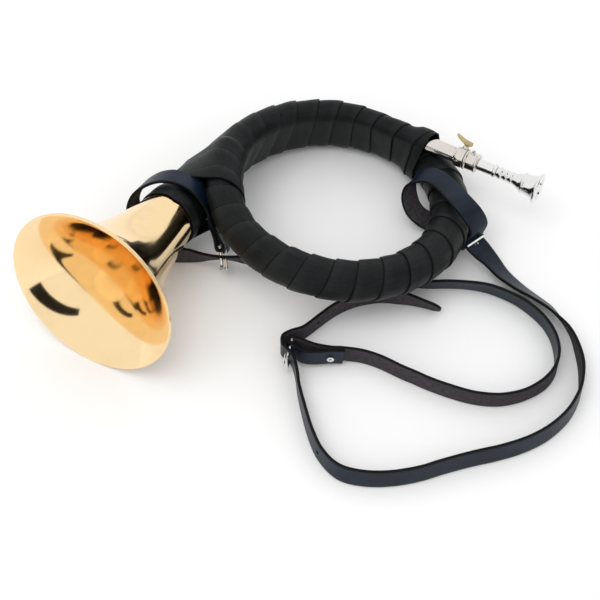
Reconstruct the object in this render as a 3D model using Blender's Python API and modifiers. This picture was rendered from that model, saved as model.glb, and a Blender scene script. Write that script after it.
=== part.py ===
"""Small coiled hunting horn with a leather-wrapped coil, a tuning slide and a carrying strap.

Lengths are in metres and angles in degrees. The horn is modelled in its ring frame, whose origin is
the centre of the coil and whose +Z is the coil's axis. The empty horn_frame lays it on the floor,
where it rests on the bell's edge and on the underside of the coil. The strap is modelled where it
lies, in the floor's own frame, with z = 0 on the floor.
"""

import math

import bmesh
import bpy
from mathutils import Matrix, Vector

# Resting place: the coil's centre above the floor, and its small lean
RING_CENTRE = (0.03467, 0.02156, 0.04032)
REST_TURN = (-4.70, 2.38, -3.29)

# Coil: the tube leaves the mouthpipe at PIPE_ANGLE and becomes the bell's tail at TAIL_ANGLE
COIL_RADIUS = 0.0964
COIL_SPREAD = 0.0145
PIPE_ANGLE = 64.5
TAIL_ANGLE = 516.0
COIL_MIDDLE = (PIPE_ANGLE + TAIL_ANGLE) / 2
# A straight length that counts as one degree before and after the coil
STRAIGHT_STEP = 0.00184
# Height of the tube's centre along the coil: angle, millimetres
COIL_HEIGHTS = (
    (64.5, 13.1), (110, 13.8), (165, 17), (185, 17), (220, 10), (270, 2.5), (330, -5.5),
    (380, -10.2), (425, -12.6), (470, -14.5), (500, -15), (549.2, -8.3), (557.3, -6.3), (624.6, 9.9),
)
# Outer radius of the bare tube along the coil: angle, millimetres
TUBE_RADII = ((64.5, 6.5), (156, 10.4), (215, 12.3), (275, 14.2), (425, 14.9), (516, 16.2))

# Bell: its edge's place on the path, where the straight axis starts, and the flare's law
BELL_PLACE = 624.6
BELL_AXIS_PLACE = 557.3
BELL_RADIUS = 0.0704
BELL_REACH = 0.038
BELL_POWER = 0.8
BELL_STEM = 0.150
RIM_WIRE = 0.0013
RIM_LAND = 0.0004

TUBE_WALL = 0.0008
TUBE_STEP = 12.0
GAP = 0.0003
JOINT_LENGTH = 0.012
JOINT_PLAY = 0.0004
TUBE_JOINT_ANGLE = 255.0

# Stays between the tubes: name, place on the upper tube, place on the lower tube
STAYS = (("coil_stay_front", 92.0, 451.5), ("coil_stay_back", 136.0, 496.5))
STAY_RADIUS = 0.0025
STAY_SEAT = 0.0007

# Mouthpipe: places along the straight pipe, from the coil outwards
SLEEVE_END = 0.091
SLEEVE_RADIUS = 0.0065
SLEEVE_BORE = 0.0052
SLEEVE_START = 0.001
COLLAR_START = 0.070
COLLAR_END = 0.0792
SLIDE_START = 0.050
SLIDE_END = 0.1085
SLIDE_RADIUS = 0.0049
SLIDE_BORE = 0.0043
MOUTHPIECE_START = 0.0865

# Wing screw on the collar's boss, and the lug beside it: place along the pipe, lean from the coil's axis
SCREW_PLACE = 0.0765
SCREW_LEAN = 35.0
SCREW_RADIUS = 0.0012
SCREW_FOOT = 0.0072
SCREW_HEAD = ((1.0, 13.6), (2.4, 13.3), (3.0, 12.5), (3.1, 11.8), (2.6, 11.1))
SCREW_BORE = 0.0016
BORE_SPAN = (0.0060, 0.0115)
# Sections across the wing (mm): distance along the pipe, height of its middle, half height, half width
WING_SECTIONS = (
    (-11.0, 17.0, 1.2, 0.6), (-9.0, 15.9, 1.8, 0.9), (-3.0, 13.2, 2.3, 1.1), (3.0, 12.9, 2.2, 1.1),
    (4.8, 13.2, 1.5, 0.8),
)
WING_EDGE = 0.0004
BOSS_RADIUS = 0.0028
BOSS_FOOT = 0.0076
BOSS_TOP = 0.0103
LUG_PLACE = 0.0850
LUG_LEAN = 12.0
LUG_RADIUS = 0.0016
LUG_TOP = 0.0102

# Mouthpiece (mm): radius and height up its outside, from the rim to the shank, then up the bore to the cup
MOUTHPIECE_OUTSIDE = (
    (9.6, 60.7), (11.6, 61.0), (13.2, 60.4), (13.5, 59.4), (12.9, 58.3), (11.0, 57.2), (9.4, 54.5),
    (8.7, 51.0), (8.4, 48.0), (9.0, 46.8), (8.8, 45.9), (7.4, 44.6), (6.4, 42.0), (5.2, 39.2),
    (4.5, 37.4), (5.3, 36.3), (5.3, 35.4), (4.3, 34.4), (4.3, 32.4), (5.1, 31.4), (5.1, 30.4),
    (4.2, 29.4), (4.2, 27.6), (5.3, 26.6), (5.3, 25.2), (4.6, 24.2), (4.0, 22.6), (3.7, 0.0),
)
MOUTHPIECE_INSIDE = ((2.7, 0.0), (2.0, 44.0), (2.4, 46.5), (5.2, 50.0), (7.4, 54.5), (8.4, 58.5))

# Leather wrap: strip thickness, the step where a turn lies on the last one, and the strip's pitch
LEATHER = 0.0011
WRAP_GAP = 0.0005
OVERLAP = 0.0008
WRAP_PITCH = 12.2
RING_WRAP = (169.0, 403.5)
SHARED_WRAP = (398.0, 537.7)
SHARED_PIPE = (39.0, 174.0)
TAIL_WRAP = (535.6, 566.4)
SHARED_LIFT = 0.0026
SHARED_MOUTH = 7.0
SHARED_TAPER = 4.0
SHARED_PLAY = 0.0007

# Strap: leather 18 mm wide that mostly stands on its edge on the floor
STRAP_WIDTH = 0.018
STRAP_THICKNESS = 0.0024
STRAP_STEPS = 2
TONGUE_TIP = 0.009
TIP_WIDTH = 0.25

# Buckles: rounded wire frame, and a prong that turns on the frame's heel bar
FRAME_LENGTH = 0.0244
FRAME_DEPTH = 0.0174
FRAME_CORNER = 0.0035
WIRE_RADIUS = 0.0013
PRONG_RADIUS = 0.0010
PRONG_REACH = 0.0016
PRONG_SLOT = 0.0032
SLOT_RADIUS = 0.0047
PRONG_HOLE = 0.0015
HOLE_START = 0.0040
HOLE_MARGIN = 0.0006
# Tubular rivets: hole in the strap, head, shank and bore radii, thickness of the rolled flange
RIVET_HOLE = 0.0019
RIVET_HEAD = 0.0031
RIVET_SHANK = 0.0015
RIVET_BORE = 0.0009
RIVET_BORE_FLARE = 0.0003
RIVET_FLANGE = 0.0006

# Each buckle: middle of its heel bar (mm), the bar's direction, the way to the far bar, the prong's side
BUCKLES = (
    ("adjusting", (2.5, -112.0, 13.7), (0, 0, 1), (-0.2, -0.98, 0), -1),
    ("coil_loop", (149.5, 0.1, 9.8), (0.812, 0.548, 0.203), (0.219, -0.607, 0.764), 1),
    ("throat_loop", (-56.6, -21.3, 21.1), (-0.2, -0.55, 0.811), (0.098, -0.834, -0.542), 1),
)
# Each fold's rivet: name, middle (mm), axis, half the distance between its flanges (mm)
RIVETS = (
    ("adjusting_fold_rivet", (33.0, -118.8, 11.4), (0, -1, 0), 3.9),
    ("coil_fold_rivet", (142.2, 11.7, 6.9), (-0.282, 0.064, 0.958), 3.4),
    ("throat_fold_rivet", (-61.6, -10.0, 27.6), (-0.911, -0.196, -0.358), 3.35),
)
# Punched holes in the tongue part: middle (mm), axis
PUNCHED = (((22.6, -86.8, 10.6), (0.72, -0.69, 0)), ((24.6, -203.4, 9.4), (0.87, 0.49, 0)))
PUNCH_RADIUS = 0.0016

# Strap with the tongue, from its fold on the loop round the coil to the tongue's tip: a point in the
# middle of the strap (mm, floor frame), then the direction of the strap's width there
TONGUE_PART = (
    (138.8, 16.9, 7.2, 0.81, 0.55, 0.2), (144.4, 7.7, 9.7, 0.81, 0.55, 0.2),
    (148.6, 0.3, 12.7, 0.81, 0.55, 0.2), (150, -1.6, 12.3, 0.81, 0.55, 0.2),
    (151.1, -2.4, 10.4, 0.81, 0.55, 0.2), (151.2, -1.8, 8.2, 0.81, 0.55, 0.2),
    (150.4, -0.1, 6.9, 0.81, 0.55, 0.2), (145.4, 7.5, 6.2, 0.81, 0.55, 0.2),
    (139.7, 16.7, 4.1, 0.81, 0.55, 0.2), (131.5, 21.8, 4.6, 0.69, 0.71, 0.15),
    (121, 23, 6.2, 0.61, 0.79, 0.08), (111.5, 24, 10.5, 0.58, 0.81, 0),
    (103.3, 29, 17, 0.66, 0.75, 0), (99.4, 36, 27, 0.66, 0.75, 0),
    (102.1, 41.9, 37, 0.55, 0.83, 0), (110.7, 41.7, 45, 0.46, 0.89, 0),
    (120.9, 34.9, 48.8, 0.55, 0.83, 0), (130.1, 22.8, 50.5, 0.75, 0.65, 0.03),
    (137.9, 8, 53, 0.88, 0.47, 0.05), (146.2, -2.4, 49.9, 0.88, 0.45, 0.05),
    (154.2, -5.6, 35.5, 0.81, 0.55, 0.2), (151.8, -7.7, 21, 0.81, 0.55, 0.2),
    (158.5, -14, 15.3, 0.79, 0.61, 0.08), (166.8, -23.2, 12.5, 0.7, 0.66, -0.25),
    (175.7, -34.4, 9.2, 0.58, 0.69, -0.44), (188.1, -46.6, 8.3, 0.49, 0.64, -0.6),
    (198.7, -55.4, 8.3, 0.42, 0.58, -0.69), (209.8, -65.6, 8.6, 0.44, 0.49, -0.75),
    (218.2, -78.1, 9.2, 0.37, 0.33, -0.87), (225, -91.3, 9.7, 0.25, 0.13, -0.96),
    (228.6, -107.8, 9.8, 0.08, 0, -1), (229.8, -124.7, 9.7, 0, 0, -1),
    (227.3, -141.8, 9.7, 0.05, 0, -1), (223.4, -152.5, 9.8, 0.09, -0.05, -1),
    (216.9, -164, 9.8, 0.11, -0.08, -1), (209.4, -173.2, 9.8, 0.11, -0.11, -1),
    (197.6, -183.6, 9.8, 0.1, -0.14, -1), (184.4, -191.7, 9.8, 0.08, -0.15, -1),
    (171, -197.6, 9.8, 0.06, -0.16, -1), (157.2, -202.1, 9.8, 0.05, -0.16, -1),
    (143.6, -205.7, 9.8, 0.05, -0.16, -1), (128.3, -210.2, 9.8, 0.05, -0.16, -1),
    (113.8, -215, 9.8, 0.06, -0.16, -1), (101.2, -219.6, 9.8, 0.05, -0.16, -1),
    (87.5, -223, 9.8, 0.03, -0.17, -1), (74.9, -224.9, 9.8, 0, -0.17, -1),
    (61.6, -225.2, 9.8, 0, -0.17, -1), (49.7, -223.7, 9.8, -0.03, -0.17, -1),
    (40.7, -220.7, 9.8, -0.06, -0.14, -1), (33.5, -215.5, 9.8, -0.08, -0.09, -1),
    (27.3, -208, 9.8, -0.08, -0.06, -1), (22.4, -199.2, 9.8, -0.09, -0.04, -1),
    (17.2, -184.7, 9.8, -0.08, 0, -1), (12.3, -165.5, 9.7, -0.05, 0, -1),
    (8.9, -150, 10, 0, 0, -1), (7.4, -140, 11.8, 0, 0, -1),
    (5.6, -131.5, 13.5, 0, 0, -1), (3.4, -124.8, 13.7, 0, 0, -1),
    (-1, -119.5, 13.7, 0, 0, -1), (-4.8, -114.6, 13.7, 0, 0, -1),
    (-4.4, -107.6, 13.7, 0, 0, -1), (1.5, -103.2, 13.6, 0, 0, -1),
    (11.7, -98, 12.5, 0, 0, -1), (23.1, -86.2, 10.5, 0, 0, -1),
    (36.8, -73.4, 9.7, 0, 0, -1), (53.1, -64.1, 9.7, 0, 0, -1),
    (71.9, -59.2, 9.7, 0, 0, -1), (88.2, -59.8, 9.7, 0, 0, -1),
    (99.8, -62.8, 9.7, 0, 0.2, -0.98), (111.5, -66.7, 9.4, 0, 0.35, -0.94),
    (122.7, -71.1, 9.2, 0, 0.4, -0.92),
)
# Strap with the adjusting buckle, from its fold there to its fold on the loop round the bell's throat
BUCKLE_PART = (
    (43.3, -119.9, 11.4, 0, 0, -1), (33, -120.6, 12.4, 0, 0, -1),
    (21, -122.6, 13.5, 0, 0, -1), (11.5, -121.8, 13.7, 0, 0, -1),
    (5.8, -117.6, 13.7, 0, 0, -1), (2.5, -115, 13.7, 0, 0, -1),
    (0.3, -114.2, 13.7, 0, 0, -1), (-0.5, -112, 13.7, 0, 0, -1),
    (0.3, -109.8, 13.7, 0, 0, -1), (2.5, -109, 13.7, 0, 0, -1),
    (9.5, -110.7, 13.6, 0, 0, -1), (21, -115.2, 13.2, 0, 0, -1),
    (33, -117, 12.4, 0, 0, -1), (43.3, -116.6, 11, 0, 0, -1),
    (58.5, -118, 9.8, 0, 0, -1), (72.5, -123.1, 9.7, 0, 0, -1),
    (88, -131.6, 9.7, 0, 0, -1), (98.8, -136.9, 9.7, 0, 0, -1),
    (109.3, -142.2, 9.7, 0, 0, -1), (125.6, -148.8, 9.7, 0, 0, -1),
    (141.8, -153.8, 9.7, 0, 0, -1), (158.2, -155.8, 9.7, 0, 0, -1),
    (170.7, -154.4, 9.7, 0, 0, -1), (183.5, -150.2, 9.7, 0, 0, -1),
    (195.3, -143.2, 9.7, 0.03, -0.04, -1), (204, -134.9, 9.8, 0.06, -0.05, -1),
    (209.5, -125.4, 9.7, 0.05, -0.02, -1), (211.8, -116.1, 9.7, 0, 0, -1),
    (212.1, -105.4, 9.7, 0, 0, -1), (210.2, -94.5, 9.7, 0.05, 0.02, -1),
    (206.1, -84.3, 9.8, 0.09, 0.05, -0.99), (200.2, -75.4, 9.8, 0.09, 0.08, -0.99),
    (192.3, -66.8, 9.8, 0.1, 0.11, -0.99), (183.7, -60, 9.8, 0.11, 0.17, -0.98),
    (173.5, -54.1, 9.8, 0.09, 0.2, -0.98), (161.5, -49.2, 9.8, 0.06, 0.25, -0.97),
    (146.7, -46.5, 9.8, 0.03, 0.3, -0.95), (130.3, -45.8, 9.8, 0.01, 0.3, -0.95),
    (110.8, -46.3, 9.8, 0, 0.3, -0.95), (78.4, -42.1, 9.7, 0, 0.15, -0.99),
    (41.3, -35.8, 9.7, 0, 0, -1), (-0.1, -29, 9.7, 0, 0, -1),
    (-29.5, -25.9, 11.5, 0, 0.2, -0.98), (-43.4, -27.3, 15, 0, 0.45, -0.89),
    (-56.6, -27.9, 16.7, 0, 0.55, -0.83), (-70, -25.8, 15, 0, 0.41, -0.91),
    (-82, -22.3, 11.5, 0, 0.1, -1), (-94, -20.5, 9.8, 0, -0.05, -1),
    (-108.5, -18.8, 10.3, -0.3, -0.15, -0.94), (-121.8, -8.5, 15.4, -0.6, -0.45, -0.66),
    (-129, 3.5, 28, -0.6, -0.8, 0), (-131, 8.5, 41, -0.44, -0.87, 0.2),
    (-125.6, 12.4, 53, -0.44, -0.87, 0.2), (-114.8, 15, 62, -0.44, -0.87, 0.2),
    (-103, 15.2, 67, -0.44, -0.87, 0.2), (-90.6, 13, 68, -0.44, -0.87, 0.2),
    (-79.5, 7.5, 67, -0.35, -0.92, 0.2), (-72.2, 3.2, 59.3, -0.12, -0.98, 0.1),
    (-66.5, -1, 48.5, -0.2, -0.9, 0.35), (-64.6, -4.2, 38.5, -0.33, -0.72, 0.61),
    (-61.9, -5.5, 30.5, -0.2, -0.55, 0.81), (-58.1, -13.6, 25.9, -0.2, -0.55, 0.81),
    (-53.8, -20.7, 22.2, -0.2, -0.55, 0.81), (-53.9, -22.6, 20.9, -0.2, -0.55, 0.81),
    (-55.5, -23.8, 19.7, -0.2, -0.55, 0.81), (-57.8, -23.5, 19.3, -0.2, -0.55, 0.81),
    (-59.4, -21.9, 20, -0.2, -0.55, 0.81), (-61.4, -14.3, 24.6, -0.2, -0.55, 0.81),
    (-64.8, -6.2, 29.3, -0.2, -0.55, 0.81),
)

COLLECTION = "hunting_horn"
CUTTERS = "cutters"


def clear_scene():
    """Remove what the file opens with."""
    for item in list(bpy.data.objects):
        bpy.data.objects.remove(item, do_unlink=True)


def make_material(name, color, metallic, roughness):
    """A plain Principled finish for one sub-part."""
    material = bpy.data.materials.new(name)
    material.use_nodes = True
    shader = material.node_tree.nodes["Principled BSDF"]
    shader.inputs["Base Color"].default_value = (*color, 1.0)
    shader.inputs["Metallic"].default_value = metallic
    shader.inputs["Roughness"].default_value = roughness
    return material


def smooth(knots, place):
    """Height of a curve through the knots that never overshoots them."""
    xs = [knot[0] for knot in knots]
    ys = [knot[1] for knot in knots]
    last = len(xs) - 1
    place = min(max(place, xs[0]), xs[-1])
    step = [xs[i + 1] - xs[i] for i in range(last)]
    rise = [(ys[i + 1] - ys[i]) / step[i] for i in range(last)]
    slope = [rise[0]]
    for i in range(1, last):
        product = rise[i - 1] * rise[i]
        slope.append(2 * product / (rise[i - 1] + rise[i]) if product > 0 else 0.0)
    slope.append(rise[-1])
    i = max(k for k in range(last) if xs[k] <= place)
    t = (place - xs[i]) / step[i]
    ends = ys[i] * (1 + 2 * t) * (1 - t) ** 2 + ys[i + 1] * t * t * (3 - 2 * t)
    bends = step[i] * (slope[i] * t * (1 - t) ** 2 - slope[i + 1] * t * t * (1 - t))
    return ends + bends


def bell_radius(behind):
    """Outer radius of the bell and its stem at a distance behind the bell's edge."""
    return BELL_RADIUS * (BELL_REACH / (BELL_REACH + behind)) ** BELL_POWER


def coil_radius(degrees):
    """Distance of the tube's centre from the coil's axis."""
    return COIL_RADIUS + COIL_SPREAD * (degrees - COIL_MIDDLE) / 360


def path_height(degrees):
    return smooth(COIL_HEIGHTS, degrees) / 1000


def path_point(degrees):
    """Centre of the air column: straight mouthpipe, coil, straight tail."""
    turn = min(max(degrees, PIPE_ANGLE), TAIL_ANGLE)
    radius = coil_radius(turn)
    angle = math.radians(turn)
    point = Vector((radius * math.cos(angle), radius * math.sin(angle), path_height(degrees)))
    if degrees < PIPE_ANGLE:
        forward = Vector((math.sin(angle), -math.cos(angle), 0))
        point += forward * (PIPE_ANGLE - degrees) * STRAIGHT_STEP
    if degrees > TAIL_ANGLE:
        forward = Vector((-math.sin(angle), math.cos(angle), 0))
        point += forward * (degrees - TAIL_ANGLE) * STRAIGHT_STEP
    return point


PIPE_START = path_point(PIPE_ANGLE)
PIPE_AXIS = Vector((math.sin(math.radians(PIPE_ANGLE)), -math.cos(math.radians(PIPE_ANGLE)), 0))
BELL_CENTRE = path_point(BELL_PLACE)
BELL_AXIS = (BELL_CENTRE - path_point(BELL_AXIS_PLACE)).normalized()
TAIL_STEP = STRAIGHT_STEP / math.hypot(BELL_AXIS.x, BELL_AXIS.y)


def path_radius(degrees):
    """Outer radius of the bare tube."""
    if degrees <= TAIL_ANGLE:
        return smooth(TUBE_RADII, degrees) / 1000
    return bell_radius((BELL_PLACE - degrees) * TAIL_STEP)


def path_forward(degrees):
    return (path_point(degrees + 0.5) - path_point(degrees - 0.5)).normalized()


def pipe_place(distance):
    """The path's own angle for a distance along the straight mouthpipe."""
    return PIPE_ANGLE - distance / STRAIGHT_STEP


def add_object(name, mesh, material, frame=None):
    item = bpy.data.objects.new(name, mesh)
    bpy.data.collections[COLLECTION].objects.link(item)
    mesh.materials.clear()
    mesh.materials.append(material)
    item.parent = frame
    return item


def lay_along(item, origin, axis, lean=0.0):
    """Put an object's origin at a point with its own +Z along an axis."""
    turn = axis.to_track_quat("Z", "Y").to_matrix().to_4x4()
    item.matrix_local = Matrix.Translation(origin) @ turn @ Matrix.Rotation(math.radians(lean), 4, "Z")


def set_shading(mesh, limit=35.0):
    mesh.shade_smooth()
    mesh.set_sharp_from_angle(angle=math.radians(limit))


def turned(name, profile, material, sides, frame=None):
    """Spin a profile of (radius, height) points, listed down the outer side, about local Z."""
    mesh = bpy.data.meshes.new(name)
    points = [(radius, 0.0, height) for radius, height in profile]
    count = len(points)
    edges = [(i, (i + 1) % count) for i in range(count)]
    mesh.from_pydata(points, edges, [])
    item = add_object(name, mesh, material, frame)
    spin = item.modifiers.new("turn", "SCREW")
    spin.angle = math.tau
    spin.steps = sides
    spin.render_steps = sides
    spin.use_merge_vertices = True
    spin.merge_threshold = 0.00001
    spin.use_smooth_shade = True
    return item


def curve_mesh(name, points, radii, sides, closed=False, caps=True):
    """Mesh of a round tube along points, made from a poly curve and then welded."""
    curve = bpy.data.curves.new(name, "CURVE")
    curve.dimensions = "3D"
    curve.bevel_depth = 1.0
    curve.bevel_resolution = (sides - 4) // 2
    curve.use_fill_caps = caps and not closed
    spline = curve.splines.new("POLY")
    spline.points.add(len(points) - 1)
    spline.use_cyclic_u = closed
    for place, point, radius in zip(spline.points, points, radii):
        place.co = (*point, 1.0)
        place.radius = radius
    guide = bpy.data.objects.new(name, curve)
    bpy.context.scene.collection.objects.link(guide)
    bpy.context.view_layer.update()
    evaluated = guide.evaluated_get(bpy.context.evaluated_depsgraph_get())
    mesh = bpy.data.meshes.new_from_object(evaluated)
    bpy.data.objects.remove(guide)
    bpy.data.curves.remove(curve)
    work = bmesh.new()
    work.from_mesh(mesh)
    bmesh.ops.remove_doubles(work, verts=work.verts, dist=0.000005)
    bmesh.ops.recalc_face_normals(work, faces=work.faces)
    work.to_mesh(mesh)
    work.free()
    mesh.name = name
    set_shading(mesh)
    return mesh


def bent_tube(name, places, radii, material, sides, frame):
    """Hollow tube along the air column, open at both ends."""
    points = [path_point(place) for place in places]
    mesh = curve_mesh(name, points, radii, sides, caps=False)
    item = add_object(name, mesh, material, frame)
    wall = item.modifiers.new("wall", "SOLIDIFY")
    wall.thickness = TUBE_WALL
    wall.offset = -1.0
    return item


def spread(start, end, step):
    """Even places from start to end, no further apart than step."""
    count = max(1, math.ceil(abs(end - start) / step))
    return [start + (end - start) * i / count for i in range(count + 1)]


class FaceBuilder:
    """Collects faces by their corner points and drops the ones that have no area."""

    def __init__(self):
        self.mesh = bmesh.new()
        self.corners = {}

    def corner(self, point):
        key = tuple(round(value * 1e7) for value in point)
        if key not in self.corners:
            self.corners[key] = self.mesh.verts.new(point)
        return self.corners[key]

    def face(self, *points):
        ring = []
        for point in points:
            corner = self.corner(point)
            if corner not in ring:
                ring.append(corner)
        if len(ring) > 2 and self.mesh.faces.get(ring) is None:
            self.mesh.faces.new(ring)

    def finish(self, name):
        mesh = bpy.data.meshes.new(name)
        bmesh.ops.recalc_face_normals(self.mesh, faces=self.mesh.faces)
        self.mesh.to_mesh(mesh)
        self.mesh.free()
        set_shading(mesh)
        return mesh


def single_section(place, angle, lift, stretch=1.0):
    """Point on a round section of the path, with the angle measured from the outward side."""
    forward = path_forward(place)
    side = forward.cross(Vector((0, 0, 1))).normalized()
    up = side.cross(forward)
    radius = (path_radius(place) + WRAP_GAP) * stretch + lift
    return path_point(place) + radius * (math.cos(angle) * side + math.sin(angle) * up)


def shared_extra(place):
    """The shared wrap widens at both ends, where it passes over the other wraps."""
    start, end = SHARED_WRAP
    inside = min(place - start, end - place)
    share = (SHARED_MOUTH + SHARED_TAPER - inside) / SHARED_TAPER
    return SHARED_PLAY + SHARED_LIFT * min(max(share, 0.0), 1.0)


def shared_section(place, angle, lift, stretch=1.0):
    """Point on the hull round both tubes, with the angle measured from the outward side."""
    start, end = SHARED_WRAP
    share = (place - start) / (end - start)
    upper_place = SHARED_PIPE[0] + share * (SHARED_PIPE[1] - SHARED_PIPE[0])
    lower = path_point(place)
    upper = path_point(upper_place)
    forward = (path_forward(place) + path_forward(upper_place)).normalized()
    between = upper - lower
    up = (between - forward * between.dot(forward)).normalized()
    side = forward.cross(up)
    normal = math.cos(angle) * side + math.sin(angle) * up
    upper_reach = between.dot(normal) + path_radius(upper_place)
    lower_reach = path_radius(place)
    centre = upper if upper_reach > lower_reach else lower
    radius = path_radius(upper_place) if upper_reach > lower_reach else lower_reach
    return centre + ((radius + WRAP_GAP) * stretch + lift + shared_extra(place)) * normal


def wound_wrap(name, section, span, sides, material, frame):
    """Leather strip wound in a helix: each turn starts on top of the last one and ends on the tube."""
    start, end = span
    length = end - start
    turns = max(1, round(length / WRAP_PITCH))
    pitch = length / turns
    edge = 0.25
    # The bore's corners stand out a little, so that its flats clear the round tube
    stretch = 1 / math.cos(math.pi / sides)
    builder = FaceBuilder()

    def outer(place, column, raised):
        held = min(max(place, start), end)
        lift = LEATHER + (OVERLAP if raised and start < place < end else 0.0)
        return section(held, -math.tau * column / sides, lift)

    def inner(place, column):
        return section(min(max(place, start), end), -math.tau * column / sides, 0.0, stretch)

    for turn in range(-1, turns + 1):
        for column in range(sides):
            place = start + pitch * (turn + column / sides)
            after = place + pitch / sides
            last, following = column, column + 1
            rows = [
                (place - edge, after - edge, False),
                (place, after, True),
                (place + pitch - edge, after + pitch - edge, False),
            ]
            for (low, low_next, low_raised), (high, high_next, high_raised) in zip(rows, rows[1:]):
                builder.face(
                    outer(low, last, low_raised),
                    outer(low_next, following, low_raised),
                    outer(high_next, following, high_raised),
                    outer(high, last, high_raised),
                )
            for half in (0.0, 0.5):
                low = pitch * half
                high = pitch * (half + 0.5)
                builder.face(
                    inner(place + low, last),
                    inner(place + high, last),
                    inner(after + high, following),
                    inner(after + low, following),
                )
    for column in range(sides):
        for place in (start, end):
            builder.face(
                outer(place, column, False),
                outer(place, column + 1, False),
                inner(place, column + 1),
                inner(place, column),
            )
    return add_object(name, builder.finish(name), material, frame)


def make_bell(frame, brass, wire):
    """Turned bell with its stem, and the wire bead round its edge."""
    places = (0.0029, 0.005, 0.009, 0.015, 0.024, 0.036, 0.052, 0.074, 0.096, 0.114, 0.132, BELL_STEM)
    outer = [(bell_radius(behind), -behind) for behind in places]
    outer[0] = (BELL_RADIUS - 2 * RIM_WIRE - GAP, -0.0022)
    inner = [(radius - TUBE_WALL, height) for radius, height in reversed(outer[1:])]
    lip = (outer[0][0] - 0.0002, outer[0][1] + TUBE_WALL)
    bell = turned("bell_flare", outer + inner + [lip], brass, 40, frame)
    lay_along(bell, BELL_CENTRE, BELL_AXIS)

    middle = BELL_RADIUS - RIM_WIRE
    steps = 8
    bead = []
    for step in range(steps):
        angle = math.radians(67.5) - math.tau * step / steps
        height = RIM_WIRE * (math.sin(angle) / math.cos(math.pi / steps) - 1)
        bead.append((middle + RIM_WIRE * math.cos(angle), min(height, -RIM_LAND / 4)))
    edge = turned("bell_rim_wire", bead, wire, 40, frame)
    lay_along(edge, BELL_CENTRE, BELL_AXIS)


def make_tubes(frame, brass):
    """The two halves of the conical tube, each soldered a little way into the next piece."""
    step_in = TUBE_WALL + GAP + JOINT_PLAY
    end_place = pipe_place(SLEEVE_START + JOINT_LENGTH)
    neck = SLEEVE_BORE - GAP
    joint_start = TUBE_JOINT_ANGLE
    joint_end = joint_start + 7.0
    small_places = [end_place, PIPE_ANGLE + 0.3, PIPE_ANGLE + 4.0]
    small_places += spread(PIPE_ANGLE + 12.0, joint_start - 1.5, TUBE_STEP) + [joint_start, joint_end]
    small_radii = [neck, neck] + [path_radius(place) for place in small_places[2:-2]]
    small_radii += [path_radius(place) - step_in for place in small_places[-2:]]
    bent_tube("coil_tube_small", small_places, small_radii, brass, 12, frame)

    stem_place = BELL_PLACE - BELL_STEM / TAIL_STEP
    inside = JOINT_LENGTH / TAIL_STEP
    large_places = [joint_start + 1.5] + spread(joint_end + 1.0, stem_place - 1.2, TUBE_STEP)
    large_places += [stem_place - 0.2, stem_place + inside]
    large_radii = [path_radius(place) for place in large_places[:-2]]
    large_radii += [path_radius(place) - step_in for place in large_places[-2:]]
    bent_tube("coil_tube_large", large_places, large_radii, brass, 16, frame)


def make_stays(frame, brass):
    """Two short posts between the tubes, out of sight under the shared wrap."""
    for name, upper_place, lower_place in STAYS:
        upper = path_point(upper_place)
        lower = path_point(lower_place)
        between = upper - lower
        foot = path_radius(lower_place) + STAY_SEAT
        span = between.length - foot - path_radius(upper_place) - STAY_SEAT
        middle = lower + between.normalized() * (foot + span / 2)
        turn = between.to_track_quat("Z", "Y").to_matrix().to_4x4()
        mesh = bpy.data.meshes.new(name)
        work = bmesh.new()
        bmesh.ops.create_cone(
            work, cap_ends=True, segments=10, radius1=STAY_RADIUS, radius2=STAY_RADIUS, depth=span,
        )
        work.to_mesh(mesh)
        work.free()
        post = add_object(name, mesh, brass, frame)
        post.matrix_local = Matrix.Translation(middle) @ turn


def make_mouthpipe(frame, silver, nickel):
    """Sleeve with its two collars, tuning slide and mouthpiece, all turned about the pipe's axis."""
    sides = 24
    sleeve = turned(
        "slide_sleeve",
        [(SLEEVE_RADIUS, SLEEVE_END), (SLEEVE_RADIUS, SLEEVE_START), (SLEEVE_BORE, SLEEVE_START),
         (SLEEVE_BORE, SLEEVE_END)],
        nickel, sides, frame,
    )
    lay_along(sleeve, PIPE_START, PIPE_AXIS)

    bore = SLEEVE_RADIUS + GAP
    collar = turned(
        "sleeve_collar",
        [(0.0080, COLLAR_END), (0.0086, COLLAR_END - 0.0016), (0.0088, 0.0745), (0.0083, 0.0722),
         (0.0072, COLLAR_START), (bore, COLLAR_START), (bore, COLLAR_END)],
        nickel, sides, frame,
    )
    lay_along(collar, PIPE_START, PIPE_AXIS)

    end_collar = turned(
        "sleeve_end_collar",
        [(0.0078, SLEEVE_END), (0.0085, SLEEVE_END - 0.0005), (0.0085, SLEEVE_END - 0.0014),
         (0.0077, SLEEVE_END - 0.0020), (0.0077, COLLAR_END + 0.0024), (0.0089, COLLAR_END + 0.0018),
         (0.0089, COLLAR_END + 0.0006), (0.0083, COLLAR_END + GAP), (bore, COLLAR_END + GAP),
         (bore, SLEEVE_END)],
        nickel, sides, frame,
    )
    lay_along(end_collar, PIPE_START, PIPE_AXIS)

    slide = turned(
        "tuning_slide",
        [(0.0053, SLIDE_END), (0.0057, SLIDE_END - 0.0006), (0.0057, SLIDE_END - 0.0022),
         (SLIDE_RADIUS, SLIDE_END - 0.0030), (SLIDE_RADIUS, SLIDE_START), (SLIDE_BORE, SLIDE_START),
         (SLIDE_BORE, SLIDE_END)],
        nickel, sides, frame,
    )
    lay_along(slide, PIPE_START, PIPE_AXIS)

    outline = MOUTHPIECE_OUTSIDE + MOUTHPIECE_INSIDE
    profile = [(radius / 1000, height / 1000) for radius, height in outline]
    mouthpiece = turned("mouthpiece", profile, silver, sides, frame)
    lay_along(mouthpiece, PIPE_START + PIPE_AXIS * MOUTHPIECE_START, PIPE_AXIS)
    return collar, end_collar


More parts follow.
